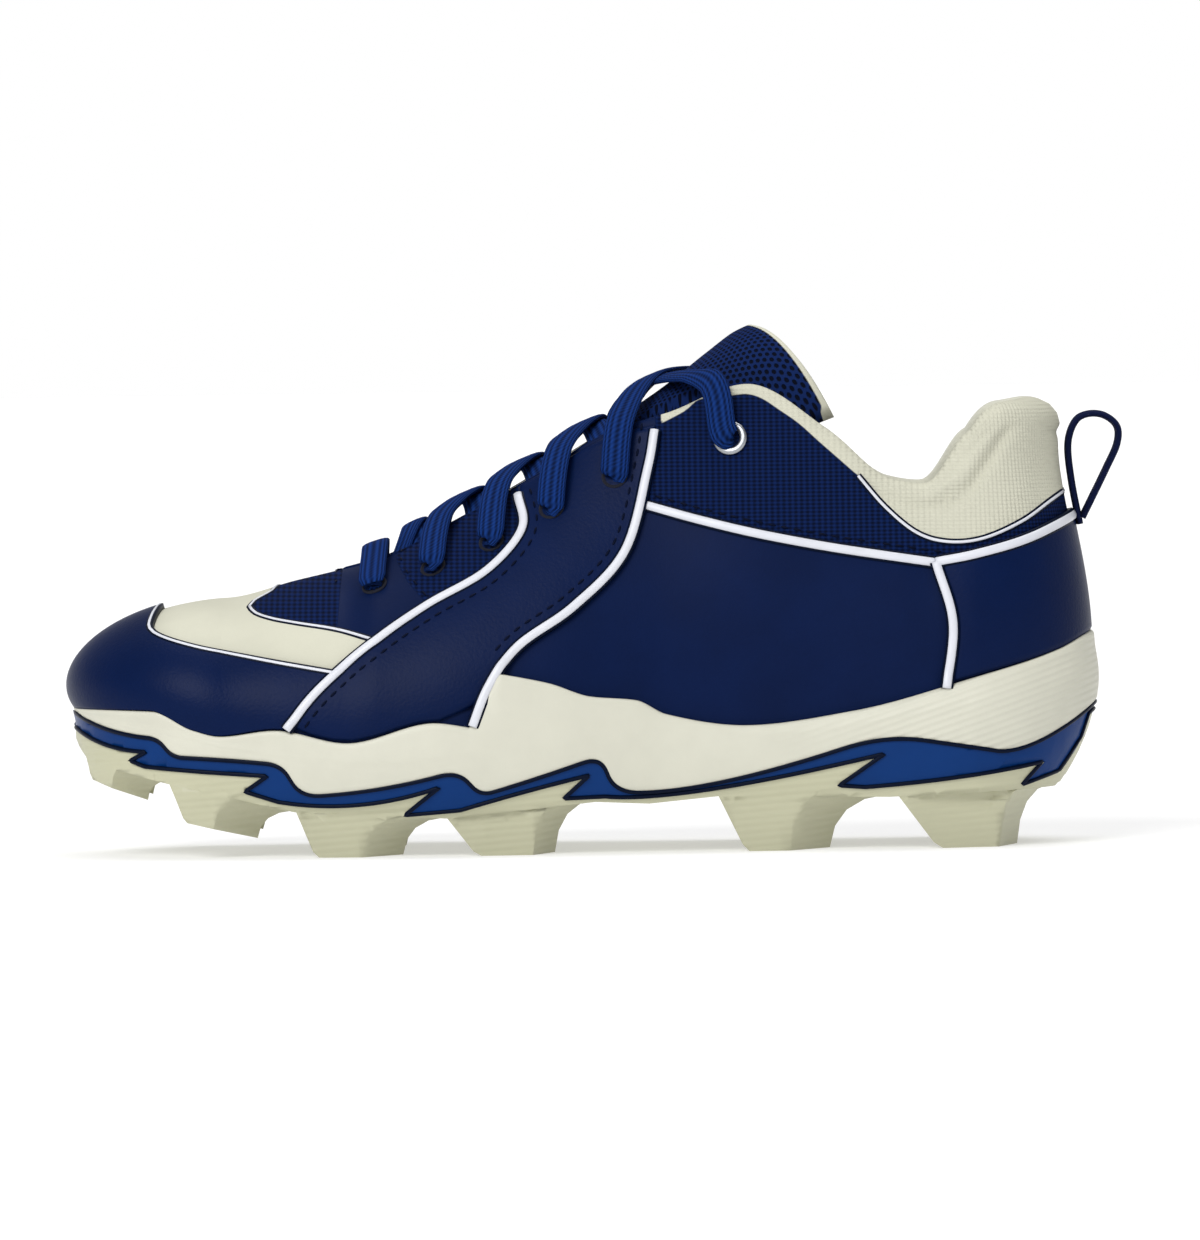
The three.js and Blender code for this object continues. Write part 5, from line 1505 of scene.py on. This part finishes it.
class CLEAT_OT_stage(Operator):
    """Adds the pale floor, the soft lights and the camera of the photograph"""

    bl_idname = "cleat.add_stage"
    bl_label = "Stage"

    def execute(self, context):
        scene = context.scene
        bm = bmesh.new()
        bmesh.ops.create_grid(bm, x_segments=8, y_segments=8, size=12.0)
        mesh = bpy.data.meshes.new("floor")
        bm.to_mesh(mesh)
        bm.free()
        floor = bpy.data.objects.new("floor", mesh)
        scene.collection.objects.link(floor)
        material, add, link, shader, mm = new_material("backlit_opal_acrylic", (0.62, 0.62, 0.62), 0.9)
        shader.inputs["Emission Color"].default_value = (1, 1, 1, 1)
        shader.inputs["Emission Strength"].default_value = 0.42
        floor.data.materials.append(material)
        world = bpy.data.worlds.new("studio")
        world.use_nodes = True
        tree = world.node_tree
        background = tree.nodes["Background"]
        direction = add_node(tree, "ShaderNodeTexCoord")
        split = add_node(tree, "ShaderNodeSeparateXYZ", {0: direction.outputs["Generated"]})
        strength = add_node(tree, "ShaderNodeMapRange", {0: split.outputs["Z"], 1: 0.05, 2: 0.3, 3: 1.0, 4: 0.3})
        tree.links.new(strength.outputs[0], background.inputs["Strength"])
        background.inputs["Color"].default_value = (1, 1, 1, 1)
        scene.world = world
        scene.view_settings.view_transform = "Standard"
        for name, aim, softness, strength in (
            ("key_light", (0.45, 0.95, -0.75), 30, 2.0),
            ("top_light", (-0.1, -0.2, -1.0), 50, 1.5),
        ):
            data = bpy.data.lights.new(name, "SUN")
            data.angle = math.radians(softness)
            data.energy = strength
            lamp = bpy.data.objects.new(name, data)
            lamp.location = -Vector(aim)
            lamp.rotation_euler = Vector(aim).to_track_quat("-Z", "Y").to_euler()
            scene.collection.objects.link(lamp)
        camera_data = bpy.data.cameras.new("camera")
        camera_data.sensor_width = 36.0
        camera_data.sensor_fit = "HORIZONTAL"
        distance, width = 3.0, 0.293
        camera_data.lens = 36.0 * distance / width
        camera_data.clip_start, camera_data.clip_end = 0.1, 20.0
        camera = bpy.data.objects.new("camera", camera_data)
        target = Vector((0.0011, 0.0, 0.0555))
        raised = math.radians(1.6)
        back = Vector((0.0, -math.cos(raised), math.sin(raised)))
        camera.location = target + back * distance
        turn = (-back).to_track_quat("-Z", "Y")
        roll = Euler((0, 0, math.radians(-0.8))).to_quaternion()
        camera.rotation_euler = (turn @ roll).to_euler()
        scene.collection.objects.link(camera)
        scene.camera = camera
        return {"FINISHED"}


class CLEAT_OT_outsole(Operator):
    """Adds the studded outsole and the flame-edged plate"""

    bl_idname = "cleat.add_outsole"
    bl_label = "Outsole and plate"

    def execute(self, context):
        colours, sizes = context.scene.cleat_colours, context.scene.cleat_sizes
        settle(moulded_copy("outsole", "studded_outsole", 1.0), stud_rubber(colours), "stud_rubber", "outsole")
        settle(moulded_copy("plate", "flame_plate", 1.2), plate_plastic(colours), "plate_plastic", "plate")
        # painted shadow: dark lines along the plate's upper and lower edges stand for the shade in the grooves there
        strips = []
        width = sizes.outline_width * 1000
        for line in (PLATE_TOP, PLATE_BOTTOM):
            for side in (OUTER, INNER):
                points, out = plate_groove_shadow(line, side)
                strips.append(sweep("outline", points, out, half_round(width, 0.32, -0.5)))
        settle(joined("plate_groove_shadow", strips), groove_shadow_paint(colours), "plate_plastic")
        return {"FINISHED"}


class CLEAT_OT_midsole(Operator):
    """Adds the midsole and finishes the insole"""

    bl_idname = "cleat.add_midsole"
    bl_label = "Midsole and insole"

    def execute(self, context):
        colours = context.scene.cleat_colours
        settle(midsole_band(), midsole_foam(colours), "midsole_foam", "midsole")
        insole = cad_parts["insole"]
        insole.data.materials.clear()
        insole.data.materials.append(insole_cloth(colours))
        return {"FINISHED"}


class CLEAT_OT_upper(Operator):
    """Adds the upper with its panels, rolled edge and lining"""

    bl_idname = "cleat.add_upper"
    bl_label = "Upper"

    def execute(self, context):
        colours, sizes = context.scene.cleat_colours, context.scene.cleat_sizes
        settle(upper_shell(colours, sizes), None, "upper_knit", "upper")
        return {"FINISHED"}


class CLEAT_OT_overlays(Operator):
    """Adds the toe cap, the two saddles and the heel counter"""

    bl_idname = "cleat.add_overlays"
    bl_label = "Overlays"

    def execute(self, context):
        leather = coated_leather(context.scene.cleat_colours)
        settle(toe_cap_patch(), leather, "overlay_leather", "toe_cap")
        settle(saddle_patch(OUTER), leather, "overlay_leather", "saddle_lateral")
        settle(saddle_patch(INNER), leather, "overlay_leather", "saddle_medial")
        settle(counter_patch(), leather, "overlay_leather", "heel_counter")
        return {"FINISHED"}


class CLEAT_OT_piping(Operator):
    """Adds the pale piping along the panels' edges"""

    bl_idname = "cleat.add_piping"
    bl_label = "Piping"

    def execute(self, context):
        sizes, colours = context.scene.cleat_sizes, context.scene.cleat_colours
        front = above_feather(curve_through(SADDLE_FRONT), -0.3)
        rear = above_feather(curve_through(SADDLE_REAR), -1.2)
        seam = curve_through(COLLAR_SEAM)
        counter = above_feather(curve_through(COUNTER), -0.3)
        strips = []
        for side in (OUTER, INNER):
            strips.append(piping(front, side, sizes))
            strips.append(piping(rear, side, sizes))
            strips.append(piping(seam, side, sizes, 0.4))
            strips.append(piping(counter, side, sizes))
        halves = [places(even(curve_through(COUNTER_TOP), 0.9), side) for side in (OUTER, INNER)]
        run = np.vstack([halves[0], halves[1][::-1]])
        points, out = upper_frame(run[:, 0], np.clip(run[:, 1], 0, 1), np.full(len(run), CLEARANCE + OVERLAY))
        fine = np.concatenate([[True], np.linalg.norm(np.diff(points, axis=0), axis=1) > 0.3])
        strips.append(trimmed(points[fine], out[fine], sizes.piping_width * 1000, sizes.piping_height * 1000))
        strips.append(edge_strip(toe_cap_top(), CLEARANCE + OVERLAY))
        strips.extend(edging(WINDOW_LOW, 0.05))
        strips.extend(edging(WINDOW_TOP[::-1], 0.05, WINDOW_CREST))
        strips.extend(edging(HEEL_PANEL, 0.05))
        # painted shadow: the dark strips beside the piping and the pale edges stand for the shade along their sides
        pale, shadow_lines = zip(*strips)
        settle(joined("panel_piping", pale), piping_plastic(colours), "overlay_leather")
        settle(joined("piping_shadow_line", shadow_lines), groove_shadow_paint(colours), "overlay_leather")
        return {"FINISHED"}


class CLEAT_OT_tongue(Operator):
    """Adds the padded mesh tongue"""

    bl_idname = "cleat.add_tongue"
    bl_label = "Tongue"

    def execute(self, context):
        pad = settle(tongue_pad(), tongue_mesh(context.scene.cleat_colours), "tongue_mesh", "tongue")
        return {"FINISHED"}


class CLEAT_OT_laces(Operator):
    """Adds the lace's start bar and its five crossings"""

    bl_idname = "cleat.add_laces"
    bl_label = "Laces"

    def execute(self, context):
        cloth = woven_tape("woven_polyester_lace", tuple(context.scene.cleat_colours.lace), 1.0, 0.22)
        settle(start_bar(), cloth, "lace_cloth", "lace_bar")
        for k in range(5):
            strands = [lace_strand(k, side, k == 4) for side in (OUTER, INNER)]
            piece = joined(f"lace_crossing_{k + 1}_tape", strands)
            settle(piece, cloth, "lace_cloth", f"lace_crossing_{k + 1}")
        return {"FINISHED"}


class CLEAT_OT_eyelets(Operator):
    """Adds the punched eyelets and the two metal rings"""

    bl_idname = "cleat.add_eyelets"
    bl_label = "Eyelets"

    def execute(self, context):
        bores = []
        for side in (OUTER, INNER):
            for k in range(6):
                lift = 0.15 if k in (0, 5, 1, 2) else CLEARANCE + OVERLAY + 0.15
                bores.append(eyelet_disc(k, side, lift))
        # painted shadow: the bores are dark discs standing for the shade inside the eyelets
        settle(joined("eyelet_bores", bores), eyelet_shadow_paint(), "lining_cloth")
        metal = ring_metal()
        settle(eyelet_ring(OUTER, 0.6), metal, "eyelet_metal", "eyelet_ring_lateral")
        settle(eyelet_ring(INNER, 0.6), metal, "eyelet_metal", "eyelet_ring_medial")
        return {"FINISHED"}


class CLEAT_OT_stitching(Operator):
    """Adds the rows of stitches beside the piping"""

    bl_idname = "cleat.add_stitching"
    bl_label = "Stitching"

    def execute(self, context):
        sizes, colours = context.scene.cleat_sizes, context.scene.cleat_colours
        length = sizes.stitch_length * 1000
        front = above_feather(curve_through(SADDLE_FRONT), 4)
        rear = above_feather(curve_through(SADDLE_REAR), 4)
        seam = curve_through(COLLAR_SEAM)
        thread = woven_tape("bonded_nylon_thread", shade(tuple(colours.navy), 0.35), 0.5, 0.05, 0.5)
        lift = CLEARANCE + OVERLAY + 0.12
        rows = []
        for side in (OUTER, INNER):
            rows.append(stitches("stitch", beside(front, -3.2), side, length, lift))
            rows.append(stitches("stitch", beside(rear, 3.2), side, length, lift))
            rows.append(stitches("stitch", beside(seam, 2.8), side, length, 0.15))
            rows.append(stitches("stitch", beside(curve_through(STAY_FRONT[:2]), -1.2), side, length, 0.15))
            rows.append(stitches("stitch", beside(curve_through(STAY_REAR), 1.2), side, length, 0.15))
        settle(joined("panel_stitching", rows), thread, "overlay_leather")
        return {"FINISHED"}


class CLEAT_OT_pull_loop(Operator):
    """Adds the pull loop at the heel"""

    bl_idname = "cleat.add_pull_loop"
    bl_label = "Pull loop"

    def execute(self, context):
        tape = woven_tape("woven_nylon_webbing", linear(0x10183A), 1.1, 0.15)
        settle(loop_webbing(), tape, "loop_webbing", "pull_loop")
        return {"FINISHED"}


OPERATORS = (
    CLEAT_OT_stage,
    CLEAT_OT_outsole,
    CLEAT_OT_midsole,
    CLEAT_OT_upper,
    CLEAT_OT_overlays,
    CLEAT_OT_piping,
    CLEAT_OT_tongue,
    CLEAT_OT_laces,
    CLEAT_OT_eyelets,
    CLEAT_OT_stitching,
    CLEAT_OT_pull_loop,
)


class CLEAT_PT_build(Panel):
    """Buttons for the cleat's pieces"""

    bl_idname = "CLEAT_PT_build"
    bl_label = "Baseball cleat"
    bl_space_type = "VIEW_3D"
    bl_region_type = "UI"
    bl_category = "Cleat"

    def draw(self, context):
        layout = self.layout
        for group in (context.scene.cleat_sizes, context.scene.cleat_colours):
            for name in group.__annotations__:
                layout.prop(group, name)
        for operator in OPERATORS:
            layout.operator(operator.bl_idname)


CLASSES = (CleatSizes, CleatColours, *OPERATORS, CLEAT_PT_build)


def register():
    for item in CLASSES:
        bpy.utils.register_class(item)
    bpy.types.Scene.cleat_sizes = PointerProperty(type=CleatSizes)
    bpy.types.Scene.cleat_colours = PointerProperty(type=CleatColours)


def unregister():
    del bpy.types.Scene.cleat_colours
    del bpy.types.Scene.cleat_sizes
    for item in reversed(CLASSES):
        bpy.utils.unregister_class(item)


def main():
    register()
    for operator in OPERATORS:
        group, name = operator.bl_idname.split(".")
        getattr(getattr(bpy.ops, group), name)()


if __name__ == "__main__":
    main()
